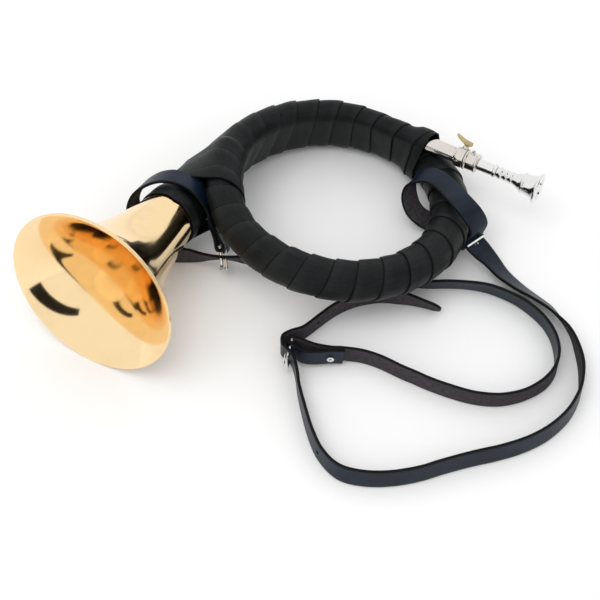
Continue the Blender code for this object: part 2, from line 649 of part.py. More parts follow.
def pipe_matrix(place, lean):
    """Frame on the pipe's axis whose +Z leans from the coil's axis towards the outer side."""
    outward = Vector((math.cos(math.radians(PIPE_ANGLE)), math.sin(math.radians(PIPE_ANGLE)), 0))
    up = math.cos(math.radians(lean)) * Vector((0, 0, 1)) + math.sin(math.radians(lean)) * outward
    side = up.cross(PIPE_AXIS)
    turn = Matrix((PIPE_AXIS, side, up)).transposed().to_4x4()
    return Matrix.Translation(PIPE_START + PIPE_AXIS * place) @ turn


def tool(name, mesh, matrix, frame=None):
    """Helper solid for a Boolean, kept out of the part's own collection."""
    item = bpy.data.objects.new(name, mesh)
    bpy.data.collections[CUTTERS].objects.link(item)
    item.parent = frame
    item.matrix_local = matrix
    item.hide_render = True
    item.display_type = "WIRE"
    return item


def cylinder_mesh(name, radius, low, high, sides=12):
    mesh = bpy.data.meshes.new(name)
    work = bmesh.new()
    middle = Matrix.Translation((0, 0, (low + high) / 2))
    bmesh.ops.create_cone(
        work, cap_ends=True, segments=sides, radius1=radius, radius2=radius, depth=high - low,
        matrix=middle,
    )
    work.to_mesh(mesh)
    work.free()
    return mesh


def combine(item, helper, operation):
    boolean = item.modifiers.new(helper.name, "BOOLEAN")
    boolean.solver = "EXACT"
    boolean.operation = operation
    boolean.object = helper


def make_screw(frame, collar, end_collar, brass):
    """Boss and lug on the two collars, and the wing screw that turns in the boss."""
    place = pipe_matrix(SCREW_PLACE, SCREW_LEAN)
    boss = tool("boss", cylinder_mesh("boss", BOSS_RADIUS, BOSS_FOOT, BOSS_TOP, 16), place, frame)
    combine(collar, boss, "UNION")
    bore = tool("screw_bore", cylinder_mesh("screw_bore", SCREW_BORE, *BORE_SPAN), place, frame)
    combine(collar, bore, "DIFFERENCE")
    post = cylinder_mesh("lug", LUG_RADIUS, BOSS_FOOT, LUG_TOP)
    combine(end_collar, tool("lug", post, pipe_matrix(LUG_PLACE, LUG_LEAN), frame), "UNION")

    profile = [(radius / 1000, height / 1000) for radius, height in SCREW_HEAD]
    profile += [
        (BOSS_RADIUS - 0.0004, BOSS_TOP + GAP), (SCREW_RADIUS, BOSS_TOP + GAP),
        (SCREW_RADIUS, SCREW_FOOT), (SCREW_RADIUS - GAP, SCREW_FOOT - 0.0002),
    ]
    screw = solid_turned("wing_screw", profile, brass, 16, frame)
    screw.matrix_local = place
    builder = FaceBuilder()
    rings = []
    for section in WING_SECTIONS:
        along, middle, tall, wide = (size / 1000 for size in section)
        rings.append([
            (along, wide, middle + tall), (along, -wide, middle + tall),
            (along, -wide, middle - tall), (along, wide, middle - tall),
        ])
    for first, second in zip(rings, rings[1:]):
        for i in range(4):
            builder.face(first[i], first[(i + 1) % 4], second[(i + 1) % 4], second[i])
    builder.face(*rings[0])
    builder.face(*rings[-1])
    wing = tool("wing", builder.finish("wing"), place, frame)
    soften = wing.modifiers.new("soften", "BEVEL")
    soften.width = WING_EDGE
    soften.segments = 2
    combine(screw, wing, "UNION")


def solid_turned(name, profile, material, sides, frame=None):
    """Spin an open profile that starts and ends near the axis, closed on the axis at both ends."""
    mesh = bpy.data.meshes.new(name)
    points = [(0, 0, profile[0][1])] + [(radius, 0, height) for radius, height in profile]
    points.append((0, 0, profile[-1][1]))
    mesh.from_pydata(points, [(i, i + 1) for i in range(len(points) - 1)], [])
    item = add_object(name, mesh, material, frame)
    spin = item.modifiers.new("turn", "SCREW")
    spin.angle = math.tau
    spin.steps = sides
    spin.render_steps = sides
    spin.use_merge_vertices = True
    spin.merge_threshold = 0.00001
    spin.use_smooth_shade = True
    return item


def strap_path(knots):
    """Points and width directions of a smooth curve through the strap's knots, in metres."""
    rows = [Vector(knot[:3]) / 1000 for knot in knots]
    widths = [Vector(knot[3:]).normalized() for knot in knots]
    places = []
    for i in range(len(rows) - 1):
        picks = [max(i - 1, 0), i, i + 1, min(i + 2, len(rows) - 1)]
        for step in range(STRAP_STEPS + (i == len(rows) - 2)):
            t = step / STRAP_STEPS
            places.append((blend(rows, picks, t), blend(widths, picks, t)))
    path = []
    for i, (point, width) in enumerate(places):
        along = (places[min(i + 1, len(places) - 1)][0] - places[max(i - 1, 0)][0]).normalized()
        path.append((point, (width - along * width.dot(along)).normalized()))
    return path


def blend(values, picks, t):
    a, b, c, d = (values[pick] for pick in picks)
    bend = 2 * a - 5 * b + 4 * c - d
    return 0.5 * (2 * b + (c - a) * t + bend * t * t + (3 * b - a - 3 * c + d) * t ** 3)


def make_strap(name, knots, material, tongue):
    """Flat leather strap: a ribbon along its path, given its thickness on both sides."""
    path = strap_path(knots)
    left = [0.0]
    for (point, _), (previous, _) in zip(path[::-1][1:], path[::-1]):
        left.append(left[-1] + (point - previous).length)
    left.reverse()
    vertices = []
    for (point, width), to_tip in zip(path, left):
        share = 1.0
        if tongue and to_tip < TONGUE_TIP:
            share = max(math.sqrt(1 - (1 - to_tip / TONGUE_TIP) ** 2), TIP_WIDTH)
        vertices += [point - width * share * STRAP_WIDTH / 2, point + width * share * STRAP_WIDTH / 2]
    faces = [(2 * i, 2 * i + 1, 2 * i + 3, 2 * i + 2) for i in range(len(path) - 1)]
    mesh = bpy.data.meshes.new(name)
    mesh.from_pydata([tuple(vertex) for vertex in vertices], [], faces)
    item = add_object(name, mesh, material)
    sheet = item.modifiers.new("thickness", "SOLIDIFY")
    sheet.thickness = STRAP_THICKNESS
    sheet.offset = 0.0
    return item


def axis_matrix(origin, axis):
    """Frame at a point given in millimetres with +Z along an axis."""
    turn = Vector(axis).to_track_quat("Z", "Y").to_matrix().to_4x4()
    return Matrix.Translation(Vector(origin) / 1000) @ turn


def buckle_matrix(origin, bar, depth):
    """Frame on a heel bar: +X towards the far bar, +Z along the bar."""
    up = Vector(bar).normalized()
    forward = Vector(depth)
    forward = (forward - up * forward.dot(up)).normalized()
    turn = Matrix((forward, up.cross(forward), up)).transposed().to_4x4()
    return Matrix.Translation(Vector(origin) / 1000) @ turn


def make_buckle(name, matrix, side, silver):
    """Wire frame and its prong, both with their origin in the middle of the heel bar."""
    half = FRAME_LENGTH / 2
    corners = (
        (FRAME_CORNER, half - FRAME_CORNER, 90), (FRAME_CORNER, FRAME_CORNER - half, 180),
        (FRAME_DEPTH - FRAME_CORNER, FRAME_CORNER - half, 270),
        (FRAME_DEPTH - FRAME_CORNER, half - FRAME_CORNER, 360),
    )
    points = []
    for x, z, start in corners:
        for step in range(4):
            angle = math.radians(start + 30 * step)
            points.append(Vector((x + FRAME_CORNER * math.cos(angle), 0, z + FRAME_CORNER * math.sin(angle))))
    wire = curve_mesh(name + "_buckle_frame", points, [WIRE_RADIUS] * len(points), 8, closed=True)
    item = add_object(name + "_buckle_frame", wire, silver)
    item.matrix_world = matrix

    reach = WIRE_RADIUS + GAP + PRONG_RADIUS
    points = []
    for angle in range(240, 0, -30):
        turn = math.radians(angle)
        points.append(Vector((-reach * math.sin(turn), side * reach * math.cos(turn), 0)))
    for distance in (0, FRAME_DEPTH / 2, FRAME_DEPTH, FRAME_DEPTH + PRONG_REACH):
        points.append(Vector((distance, side * reach, 0)))
    radii = [PRONG_RADIUS] * (len(points) - 1) + [PRONG_RADIUS * 0.7]
    prong = curve_mesh(name + "_buckle_prong", points, radii, 8)
    item = add_object(name + "_buckle_prong", prong, silver)
    item.matrix_world = matrix


def make_straps(leather, silver):
    """Both straps with their slots and holes, the three buckles and the rivets of the three folds."""
    tongue_part = make_strap("strap_tongue_part", TONGUE_PART, leather, True)
    buckle_part = make_strap("strap_buckle_part", BUCKLE_PART, leather, False)
    # The strap that each buckle is sewn into, and the strap that its prong passes through
    folded = {"adjusting": buckle_part, "coil_loop": tongue_part, "throat_loop": buckle_part}
    pierced = {"adjusting": tongue_part, "coil_loop": tongue_part, "throat_loop": buckle_part}
    reach = WIRE_RADIUS + GAP + PRONG_RADIUS
    for name, origin, bar, depth, side in BUCKLES:
        matrix = buckle_matrix(origin, bar, depth)
        make_buckle(name, matrix, side, silver)
        slot = cylinder_mesh(name + "_slot", SLOT_RADIUS, -PRONG_SLOT / 2, PRONG_SLOT / 2, 16)
        combine(folded[name], tool(name + "_slot", slot, matrix), "DIFFERENCE")
        hole = cylinder_mesh(name + "_hole", PRONG_HOLE, HOLE_START, FRAME_DEPTH - HOLE_MARGIN)
        turn = Matrix.Translation((0, side * reach, 0)) @ Matrix.Rotation(math.pi / 2, 4, "Y")
        combine(pierced[name], tool(name + "_hole", hole, matrix @ turn), "DIFFERENCE")

    rivet_straps = (buckle_part, tongue_part, buckle_part)
    for (name, origin, axis, half), strap in zip(RIVETS, rivet_straps):
        matrix = axis_matrix(origin, axis)
        near = half / 1000
        far = near + RIVET_FLANGE
        middle = (near + far) / 2
        head = RIVET_HEAD - RIVET_BORE_FLARE
        rivet = turned(
            name,
            [(head, far), (RIVET_HEAD, middle), (head, near), (RIVET_SHANK, near), (RIVET_SHANK, -near),
             (head, -near), (RIVET_HEAD, -middle), (head, -far), (RIVET_BORE + RIVET_BORE_FLARE, -far),
             (RIVET_BORE, -near), (RIVET_BORE, near), (RIVET_BORE + RIVET_BORE_FLARE, far)],
            silver, 12,
        )
        rivet.matrix_world = matrix
        hole = cylinder_mesh(name + "_hole", RIVET_HOLE, -far, far)
        combine(strap, tool(name + "_hole", hole, matrix), "DIFFERENCE")

    for number, (origin, axis) in enumerate(PUNCHED):
        hole = cylinder_mesh("punched", PUNCH_RADIUS, -STRAP_THICKNESS, STRAP_THICKNESS)
        helper = tool("punched_%d" % (number + 1), hole, axis_matrix(origin, axis))
        combine(tongue_part, helper, "DIFFERENCE")


def build():
    clear_scene()
    parts = bpy.data.collections.new(COLLECTION)
    bpy.context.scene.collection.children.link(parts)
    cutters = bpy.data.collections.new(CUTTERS)
    bpy.context.scene.collection.children.link(cutters)

    frame = bpy.data.objects.new("horn_frame", None)
    parts.objects.link(frame)
    frame.location = RING_CENTRE
    frame.rotation_euler = [math.radians(angle) for angle in REST_TURN]

    gold = make_material("gold_brass", (0.86, 0.56, 0.24), 1.0, 0.08)
    gold_wire = make_material("gold_brass_wire", (0.80, 0.52, 0.24), 1.0, 0.12)
    tube_brass = make_material("tube_brass", (0.72, 0.52, 0.24), 1.0, 0.25)
    nickel = make_material("nickel_silver", (0.78, 0.74, 0.66), 1.0, 0.10)
    silver = make_material("silver_plate", (0.86, 0.86, 0.85), 1.0, 0.06)
    leather = make_material("black_leather", (0.015, 0.017, 0.018), 0.0, 0.45)
    strap_leather = make_material("strap_leather", (0.018, 0.022, 0.028), 0.0, 0.5)

    make_bell(frame, gold, gold_wire)
    make_tubes(frame, tube_brass)
    make_stays(frame, tube_brass)
    collar, end_collar = make_mouthpipe(frame, silver, nickel)
    make_screw(frame, collar, end_collar, gold_wire)
    wound_wrap("leather_wrap_ring", single_section, RING_WRAP, 16, leather, frame)
    wound_wrap("leather_wrap_shared", shared_section, SHARED_WRAP, 20, leather, frame)
    wound_wrap("leather_wrap_tail", single_section, TAIL_WRAP, 18, leather, frame)
    make_straps(strap_leather, silver)
    bpy.context.view_layer.update()


build()
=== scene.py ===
"""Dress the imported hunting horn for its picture: brass bell, wound leather, mouthpipe, strap and studio.

Lengths are in metres and angles in degrees. The horn's own pieces are made in its ring frame, whose
origin is the centre of the coil and whose +Z is the coil's axis, and are then laid on the floor. The
strap is made where it lies, with z = 0 on the floor.
"""

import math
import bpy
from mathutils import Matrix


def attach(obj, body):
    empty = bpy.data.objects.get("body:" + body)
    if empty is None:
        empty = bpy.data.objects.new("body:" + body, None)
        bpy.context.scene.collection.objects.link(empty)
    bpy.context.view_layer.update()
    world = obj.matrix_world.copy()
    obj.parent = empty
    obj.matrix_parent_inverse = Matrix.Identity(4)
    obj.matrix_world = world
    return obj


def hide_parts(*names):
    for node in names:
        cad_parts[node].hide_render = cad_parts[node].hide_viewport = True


bl_info = {
    "name": "Hunting Horn",
    "version": (1, 0, 0),
    "blender": (4, 5, 0),
    "location": "3D View > Sidebar > Hunting Horn",
    "description": "Makes the visible pieces of a coiled hunting horn with its leather strap",
    "category": "Object",
}

import bmesh
import bpy
from mathutils import Euler, Matrix, Vector, noise

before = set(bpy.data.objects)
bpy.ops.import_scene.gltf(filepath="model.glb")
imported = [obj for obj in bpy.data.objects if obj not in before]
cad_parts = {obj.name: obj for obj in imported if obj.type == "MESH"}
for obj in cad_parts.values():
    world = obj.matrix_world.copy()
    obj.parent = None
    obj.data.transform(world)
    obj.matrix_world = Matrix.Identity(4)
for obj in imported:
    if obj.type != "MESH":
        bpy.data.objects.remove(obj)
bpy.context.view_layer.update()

# Resting place of the ring frame
RING_CENTRE = (0.03467, 0.02156, 0.04032)
REST_TURN = Euler([math.radians(turn) for turn in (-4.70, 2.38, -3.29)])
LAID = Matrix.Translation(RING_CENTRE) @ REST_TURN.to_matrix().to_4x4()

# Path of the tube round the coil: the mouthpipe leaves it at PIPE_ANGLE, the bell's tail at TAIL_ANGLE
COIL_RADIUS = 0.0964
COIL_SPREAD = 0.0145
PIPE_ANGLE = 64.5
TAIL_ANGLE = 516.0
COIL_MIDDLE = (PIPE_ANGLE + TAIL_ANGLE) / 2
STRAIGHT_STEP = 0.00184
COIL_HEIGHTS = (
    (64.5, 13.1), (110, 13.8), (165, 17), (185, 17), (220, 10), (270, 2.5), (330, -5.5),
    (380, -10.2), (425, -12.6), (470, -14.5), (500, -15), (549.2, -8.3), (557.3, -6.3), (624.6, 9.9),
)
TUBE_RADII = ((64.5, 6.5), (156, 10.4), (215, 12.3), (275, 14.2), (425, 14.9), (516, 16.2))

# Bell: its rows lie closer together towards the edge, by the crowding
BELL_PLACE = 624.6
BELL_AXIS_PLACE = 557.3
BELL_RADIUS = 0.0704
BELL_REACH = 0.038
BELL_POWER = 0.8
BELL_STEM = 0.150
BELL_WALL = 0.0008
BELL_STEPS = 56
BELL_CROWDING = 1.6
FLARE_START = 0.0032
# Lip of the bell (m): rows behind the edge on its inside, round the edge as how far in and how high, and
# behind the edge on its outside, which lies a little further in
LIP_INSIDE = (0.0026, 0.0020, 0.0014, 0.0009, 0.0004)
LIP_EDGE = (
    (0.0008, -0.00005), (0.0005, 0.0), (0.0002, -0.0002), (0.0, -0.0006), (0.0, -0.0010),
    (0.0002, -0.0013), (0.0005, -0.0014), (0.0009, -0.0012),
)
LIP_OUTSIDE = (0.0006, 0.0014, 0.0022)
LIP_BACK = 0.0006
LIP_DEPTH = 0.0003
BEAD = 0.00095
BEAD_STEPS = 20
BEAD_IN = 0.0011
BEAD_BEHIND = 0.0022

# Mouthpipe: places measured from the coil outwards along the straight pipe, heights from its axis
SLEEVE_END = 0.091
SLEEVE_RADIUS = 0.0065
SLEEVE_BORE = 0.0052
COLLAR_START = 0.070
COLLAR_END = 0.0792
SLIDE_START = 0.050
SLIDE_END = 0.1085
SLIDE_RADIUS = 0.0049
SLIDE_BORE = 0.0043
MOUTHPIECE_START = 0.0865
SCREW_PLACE = 0.0765
SCREW_LEAN = 35.0
BOSS_TOP = 0.0103
LUG_PLACE = 0.0850
LUG_LEAN = 12.0

# Wound leather: where each wrap starts and ends along the path, in degrees
WRAP_GAP = 0.0005
RING_WRAP = (169.0, 403.5)
SHARED_WRAP = (398.0, 537.7)
SHARED_PIPE = (39.0, 174.0)
TAIL_WRAP = (535.6, 566.4)
SHARED_LIFT = 0.0026
SHARED_MOUTH = 7.0
SHARED_TAPER = 4.0
SHARED_PLAY = 0.0007
HULL_BLEND = 0.003
# Hood of the shared wrap over the single tube: angles round the tube that reach further, and how far
HOOD_FROM = 6.0
HOOD_TO = 179.0
HOOD_EASE = 11.0
HOOD_REACH = 21.0
HOOD_SLANT = 0.046
RAGGED = 1.6
# Rows across one turn of the strip: share of the pitch, share of the step, in the crease or not, where the
# leather is painted dark as shade
STRIP_ROWS = (
    (0.000, -0.12, 1.0), (0.004, 0.55, 0.7), (0.020, 0.92, 0.1), (0.060, 1.06, 0.0), (0.140, 1.04, 0.0),
    (0.280, 0.90, 0.0), (0.440, 0.70, 0.0), (0.600, 0.48, 0.0), (0.760, 0.26, 0.0), (0.900, 0.08, 0.05),
    (0.975, -0.06, 0.6),
)
# Unevenness of the winding: how far an edge strays (degrees) and how often in a turn, folds as how close
# and how deep (m), and how the step between two turns varies
STRAY = 1.3
STRAY_PACE = 1.9
FOLDS = ((65.0, 0.0005), (180.0, 0.0002))
LAP_LEAST = 0.9
LAP_VARIES = 0.5
LAP_CLOSE = 40.0
# Share of a turn over which the steps fade at the strip's ends; metres of the strip's map to a degree of
# the coil, of which a face that spreads over more joins the strip's two edges, and to a turn
END_FADE = 0.35
MAP_DEGREE = 0.0017
MAP_SPREAD = 0.0008
MAP_TURN = 0.09

# Strap and buckles: the tongue narrows over its last stretch, down to a least share of the width
TONGUE_TIP = 0.009
TIP_LEAST = 0.14
STRAP_WAVES_CLOSE = 60.0
STRAP_WAVES_DEEP = 0.00012
FRAME_LENGTH = 0.0244
FRAME_DEPTH = 0.0174
FRAME_CORNER = 0.0035
WIRE_RADIUS = 0.0013
PRONG_RADIUS = 0.0010
PRONG_REACH = 0.0016
PLAY = 0.0003
PRONG_SLOT = 0.0032
SLOT_RADIUS = 0.0047
PRONG_HOLE = 0.0015
PRONG_RISE = WIRE_RADIUS + PLAY + PRONG_RADIUS
HOLE_START = 0.0040
HOLE_MARGIN = 0.0006
STRAP_STEPS = 6
TONGUE_PART_LENGTH = 0.875
BUCKLE_PART_LENGTH = 0.864
RIVET_HOLE = 0.0019
RIVET_HEAD = 0.0031
RIVET_SHANK = 0.0015
RIVET_BORE = 0.0009
RIVET_BORE_FLARE = 0.0003
RIVET_FLANGE = 0.0006

# Wing screw: head (mm), thread, and sections across its wing (mm): distance along the pipe, height of
# its middle, half height, half width
SCREW_RADIUS = 0.0012
SCREW_FOOT = 0.0072
SCREW_HEAD = ((1.0, 13.6), (2.4, 13.3), (3.0, 12.5), (3.1, 11.8), (2.6, 11.1))
WING_SECTIONS = (
    (-11.0, 17.0, 1.2, 0.6), (-9.0, 15.9, 1.8, 0.9), (-3.0, 13.2, 2.3, 1.1), (3.0, 12.9, 2.2, 1.1),
    (4.8, 13.2, 1.5, 0.8),
)
WING_EDGE = 0.0004
BOSS_RADIUS = 0.0028
BOSS_FOOT = 0.0076
LUG_RADIUS = 0.0016
LUG_TOP = 0.0102
# Steps round the turned posts and the bent wires
POST_SIDES = 32
WIRE_SIDES = 16
# Seams closer than this are merged (m)
TURNED_MERGE = 0.000001
WIRE_MERGE = 0.00002
WRAP_MERGE = 0.000002

# Mouthpiece (mm): radius and height up its outside, from the rim to the shank, then up the bore to the cup
MOUTHPIECE_OUTSIDE = (
    (9.6, 60.7), (11.6, 61.0), (13.2, 60.4), (13.5, 59.4), (12.9, 58.3), (11.0, 57.2), (9.4, 54.5),
    (8.7, 51.0), (8.4, 48.0), (9.0, 46.8), (8.8, 45.9), (7.4, 44.6), (6.4, 42.0), (5.2, 39.2),
    (4.5, 37.4), (5.3, 36.3), (5.3, 35.4), (4.3, 34.4), (4.3, 32.4), (5.1, 31.4), (5.1, 30.4),
    (4.2, 29.4), (4.2, 27.6), (5.3, 26.6), (5.3, 25.2), (4.6, 24.2), (4.0, 22.6), (3.7, 0.0),
)
MOUTHPIECE_INSIDE = ((2.7, 0.0), (2.0, 44.0), (2.4, 46.5), (5.2, 50.0), (7.4, 54.5), (8.4, 58.5))

# Studio: the camera fitted to the photo; lamp and dark cards: name, place, the point they face, sizes (m)
# and, for the lamp, its power; the room's light on the piece and as the camera and polished metal see it
CAMERA_PLACE = (
    (0.99984, -0.01814, 0.0, 0.00842),
    (0.0147, 0.81023, -0.58592, -0.63553),
    (0.01063, 0.58583, 0.81037, 0.79923),
    (0, 0, 0, 1),
)
CAMERA_LENS = 72.0
CAMERA_SENSOR = 36.0
LAMP = ("window", (-0.5, -0.6, 1.9), (0.0, 0.0, 0.0), 1.4, 12.0)
CARDS = (
    ("flag_right", (1.35, -0.35, 0.55), (0.0, 0.0, 0.1), 0.55, 1.6),
    ("flag_front", (0.06, -1.27, 1.0), (-0.18, -0.09, 1.0), 0.34, 2.0),
)
ROOM_LIGHT = 0.90
ROOM_SEEN = 1.0

# Each buckle: name, middle of its heel bar (mm), the bar's direction, the way to the far bar, the prong's
# side
BUCKLES = (
    ("adjusting", (2.5, -112.0, 13.7), (0, 0, 1), (-0.2, -0.98, 0), -1),
    ("coil_loop", (149.5, 0.1, 9.8), (0.812, 0.548, 0.203), (0.219, -0.607, 0.764), 1),
    ("throat_loop", (-56.6, -21.3, 21.1), (-0.2, -0.55, 0.811), (0.098, -0.834, -0.542), 1),
)
# Each fold's rivet: name, middle (mm), axis, half the distance between its flanges (mm)
RIVETS = (
    ("adjusting_fold_rivet", (33.0, -118.8, 11.4), (0, -1, 0), 3.9),
    ("coil_fold_rivet", (142.2, 11.7, 6.9), (-0.282, 0.064, 0.958), 3.4),
    ("throat_fold_rivet", (-61.6, -10.0, 27.6), (-0.911, -0.196, -0.358), 3.35),
)
# Punched holes in the tongue part: middle (mm), axis
PUNCHED = (((22.6, -86.8, 10.6), (0.72, -0.69, 0)), ((24.6, -203.4, 9.4), (0.87, 0.49, 0)))
PUNCH_RADIUS = 0.0016
# The strap with the buckle turns over between these two of its knots, under the coil
TURNED_OVER = (39, 41)

# Strap with the tongue, from its fold on the loop round the coil to the tongue's tip: a point in the
# middle of the strap (mm, floor frame), then the direction of the strap's width there, which a knot of
# three numbers keeps from the one before
TONGUE_PART = (
    (138.8, 16.9, 7.2, 0.81, 0.55, 0.2), (144.4, 7.7, 9.7), (148.6, 0.3, 12.7), (150, -1.6, 12.3),
    (151.1, -2.4, 10.4), (151.2, -1.8, 8.2), (150.4, -0.1, 6.9), (145.4, 7.5, 6.2), (139.7, 16.7, 4.1),
    (131.5, 21.8, 4.6, 0.69, 0.71, 0.15), (121, 23, 6.2, 0.61, 0.79, 0.08),
    (111.5, 24, 10.5, 0.58, 0.81, 0), (103.3, 29, 17, 0.66, 0.75, 0), (99.4, 36, 27),
    (102.1, 41.9, 37, 0.55, 0.83, 0), (110.7, 41.7, 45, 0.46, 0.89, 0), (120.9, 34.9, 48.8, 0.55, 0.83, 0),
    (130.1, 22.8, 50.5, 0.75, 0.65, 0.03), (137.9, 8, 53, 0.88, 0.47, 0.05),
    (146.2, -2.4, 49.9, 0.88, 0.45, 0.05), (154.2, -5.6, 35.5, 0.81, 0.55, 0.2), (151.8, -7.7, 21),
    (158.5, -14, 15.3, 0.79, 0.61, 0.08), (166.8, -23.2, 12.5, 0.7, 0.66, -0.25),
    (175.7, -34.4, 9.2, 0.58, 0.69, -0.44), (188.1, -46.6, 8.3, 0.49, 0.64, -0.6),
    (198.7, -55.4, 8.3, 0.42, 0.58, -0.69), (209.8, -65.6, 8.6, 0.44, 0.49, -0.75),
    (218.2, -78.1, 9.2, 0.37, 0.33, -0.87), (225, -91.3, 9.7, 0.25, 0.13, -0.96),
    (228.6, -107.8, 9.8, 0.08, 0, -1), (229.8, -124.7, 9.7, 0, 0, -1), (227.3, -141.8, 9.7, 0.05, 0, -1),
    (223.4, -152.5, 9.8, 0.09, -0.05, -1), (216.9, -164, 9.8, 0.11, -0.08, -1),
    (209.4, -173.2, 9.8, 0.11, -0.11, -1), (197.6, -183.6, 9.8, 0.1, -0.14, -1),
    (184.4, -191.7, 9.8, 0.08, -0.15, -1), (171, -197.6, 9.8, 0.06, -0.16, -1),
    (157.2, -202.1, 9.8, 0.05, -0.16, -1), (143.6, -205.7, 9.8), (128.3, -210.2, 9.8),
    (113.8, -215, 9.8, 0.06, -0.16, -1), (101.2, -219.6, 9.8, 0.05, -0.16, -1),
    (87.5, -223, 9.8, 0.03, -0.17, -1), (74.9, -224.9, 9.8, 0, -0.17, -1), (61.6, -225.2, 9.8),
    (49.7, -223.7, 9.8, -0.03, -0.17, -1), (40.7, -220.7, 9.8, -0.06, -0.14, -1),
    (33.5, -215.5, 9.8, -0.08, -0.09, -1), (27.3, -208, 9.8, -0.08, -0.06, -1),
    (22.4, -199.2, 9.8, -0.09, -0.04, -1), (17.2, -184.7, 9.8, -0.08, 0, -1),
    (12.3, -165.5, 9.7, -0.05, 0, -1), (8.9, -150, 10, 0, 0, -1), (7.4, -140, 11.8), (5.6, -131.5, 13.5),
    (3.4, -124.8, 13.7), (-1, -119.5, 13.7), (-4.8, -114.6, 13.7), (-4.4, -107.6, 13.7),
    (1.5, -103.2, 13.6), (11.7, -98, 12.5), (23.1, -86.2, 10.5), (36.8, -73.4, 9.7), (53.1, -64.1, 9.7),
    (71.9, -59.2, 9.7), (88.2, -59.8, 9.7), (99.8, -62.8, 9.7, 0, 0.2, -0.98),
    (111.5, -66.7, 9.4, 0, 0.35, -0.94), (122.7, -71.1, 9.2, 0, 0.4, -0.92),
)
# Strap with the adjusting buckle, from its fold there to its fold on the loop round the bell's throat
BUCKLE_PART = (
    (43.3, -119.9, 11.4, 0, 0, -1), (33, -120.6, 12.4), (21, -122.6, 13.5), (11.5, -121.8, 13.7),
    (5.8, -117.6, 13.7), (2.5, -115, 13.7), (0.3, -114.2, 13.7), (-0.5, -112, 13.7), (0.3, -109.8, 13.7),
    (2.5, -109, 13.7), (9.5, -110.7, 13.6), (21, -115.2, 13.2), (33, -117, 12.4), (43.3, -116.6, 11),
    (58.5, -118, 9.8), (72.5, -123.1, 9.7), (88, -131.6, 9.7), (98.8, -136.9, 9.7), (109.3, -142.2, 9.7),
    (125.6, -148.8, 9.7), (141.8, -153.8, 9.7), (158.2, -155.8, 9.7), (170.7, -154.4, 9.7),
    (183.5, -150.2, 9.7), (195.3, -143.2, 9.7, 0.03, -0.04, -1), (204, -134.9, 9.8, 0.06, -0.05, -1),
    (209.5, -125.4, 9.7, 0.05, -0.02, -1), (211.8, -116.1, 9.7, 0, 0, -1), (212.1, -105.4, 9.7),
    (210.2, -94.5, 9.7, 0.05, 0.02, -1), (206.1, -84.3, 9.8, 0.09, 0.05, -0.99),
    (200.2, -75.4, 9.8, 0.09, 0.08, -0.99), (192.3, -66.8, 9.8, 0.1, 0.11, -0.99),
    (183.7, -60, 9.8, 0.11, 0.17, -0.98), (173.5, -54.1, 9.8, 0.09, 0.2, -0.98),
    (161.5, -49.2, 9.8, 0.06, 0.25, -0.97), (146.7, -46.5, 9.8, 0.03, 0.3, -0.95),
    (130.3, -45.8, 9.8, 0.01, 0.3, -0.95), (110.8, -46.3, 9.8, 0, 0.3, -0.95),
    (78.4, -42.1, 9.7, 0, 0.15, -0.99), (41.3, -35.8, 9.7, 0, 0, -1), (-0.1, -29, 9.7),
    (-29.5, -25.9, 11.5, 0, 0.2, -0.98), (-43.4, -27.3, 15, 0, 0.45, -0.89),
    (-56.6, -27.9, 16.7, 0, 0.55, -0.83), (-70, -25.8, 15, 0, 0.41, -0.91), (-82, -22.3, 11.5, 0, 0.1, -1),
    (-94, -20.5, 9.8, 0, -0.05, -1), (-108.5, -18.8, 10.3, -0.3, -0.15, -0.94),
    (-121.8, -8.5, 15.4, -0.6, -0.45, -0.66), (-129, 3.5, 28, -0.6, -0.8, 0),
    (-131, 8.5, 41, -0.44, -0.87, 0.2), (-125.6, 12.4, 53), (-114.8, 15, 62), (-103, 15.2, 67),
    (-90.6, 13, 68), (-79.5, 7.5, 67, -0.35, -0.92, 0.2), (-72.2, 3.2, 59.3, -0.12, -0.98, 0.1),
    (-66.5, -1, 48.5, -0.2, -0.9, 0.35), (-64.6, -4.2, 38.5, -0.33, -0.72, 0.61),
    (-61.9, -5.5, 30.5, -0.2, -0.55, 0.81), (-58.1, -13.6, 25.9), (-53.8, -20.7, 22.2),
    (-53.9, -22.6, 20.9), (-55.5, -23.8, 19.7), (-57.8, -23.5, 19.3), (-59.4, -21.9, 20),
    (-61.4, -14.3, 24.6), (-64.8, -6.2, 29.3),
)


def steps_round(name, description, default, least, most):
    return bpy.props.IntProperty(name=name, description=description, default=default, min=least, max=most)


def length(name, description, default, least, most):
    return bpy.props.FloatProperty(
        name=name, description=description, default=default, min=least, max=most, unit="LENGTH",
    )


def colour(name, description, default):
    return bpy.props.FloatVectorProperty(
        name=name, description=description, default=default, min=0.0, max=1.0, subtype="COLOR",
    )


class HornSizes(bpy.types.PropertyGroup):
    """Sizes of the visible pieces."""

    bell_sides: steps_round("Bell Sides", "Steps round the turned bell", 144, 32, 256)
    pipe_sides: steps_round("Pipe Sides", "Steps round the turned mouthpipe pieces", 64, 16, 128)
    wrap_sides: steps_round("Wrap Sides", "Steps round the wound leather", 96, 32, 192)
    wrap_pitch: bpy.props.FloatProperty(
        name="Wrap Pitch", description="Degrees of the coil that one turn of the leather covers",
        default=12.2, min=6.0, max=20.0,
    )
    leather: length("Leather", "Thickness of the wound strip", 0.0011, 0.0005, 0.003)
    overlap: length("Overlap", "Height of the step where a turn lies on the last one", 0.0011, 0.0, 0.002)
    strap_width: length("Strap Width", "Width of the carrying strap", 0.018, 0.01, 0.03)
    strap_thickness: length("Strap Thickness", "Thickness of the carrying strap", 0.0024, 0.001, 0.004)
    floor_size: length("Floor Size", "Side of the studio floor", 8.0, 2.0, 20.0)


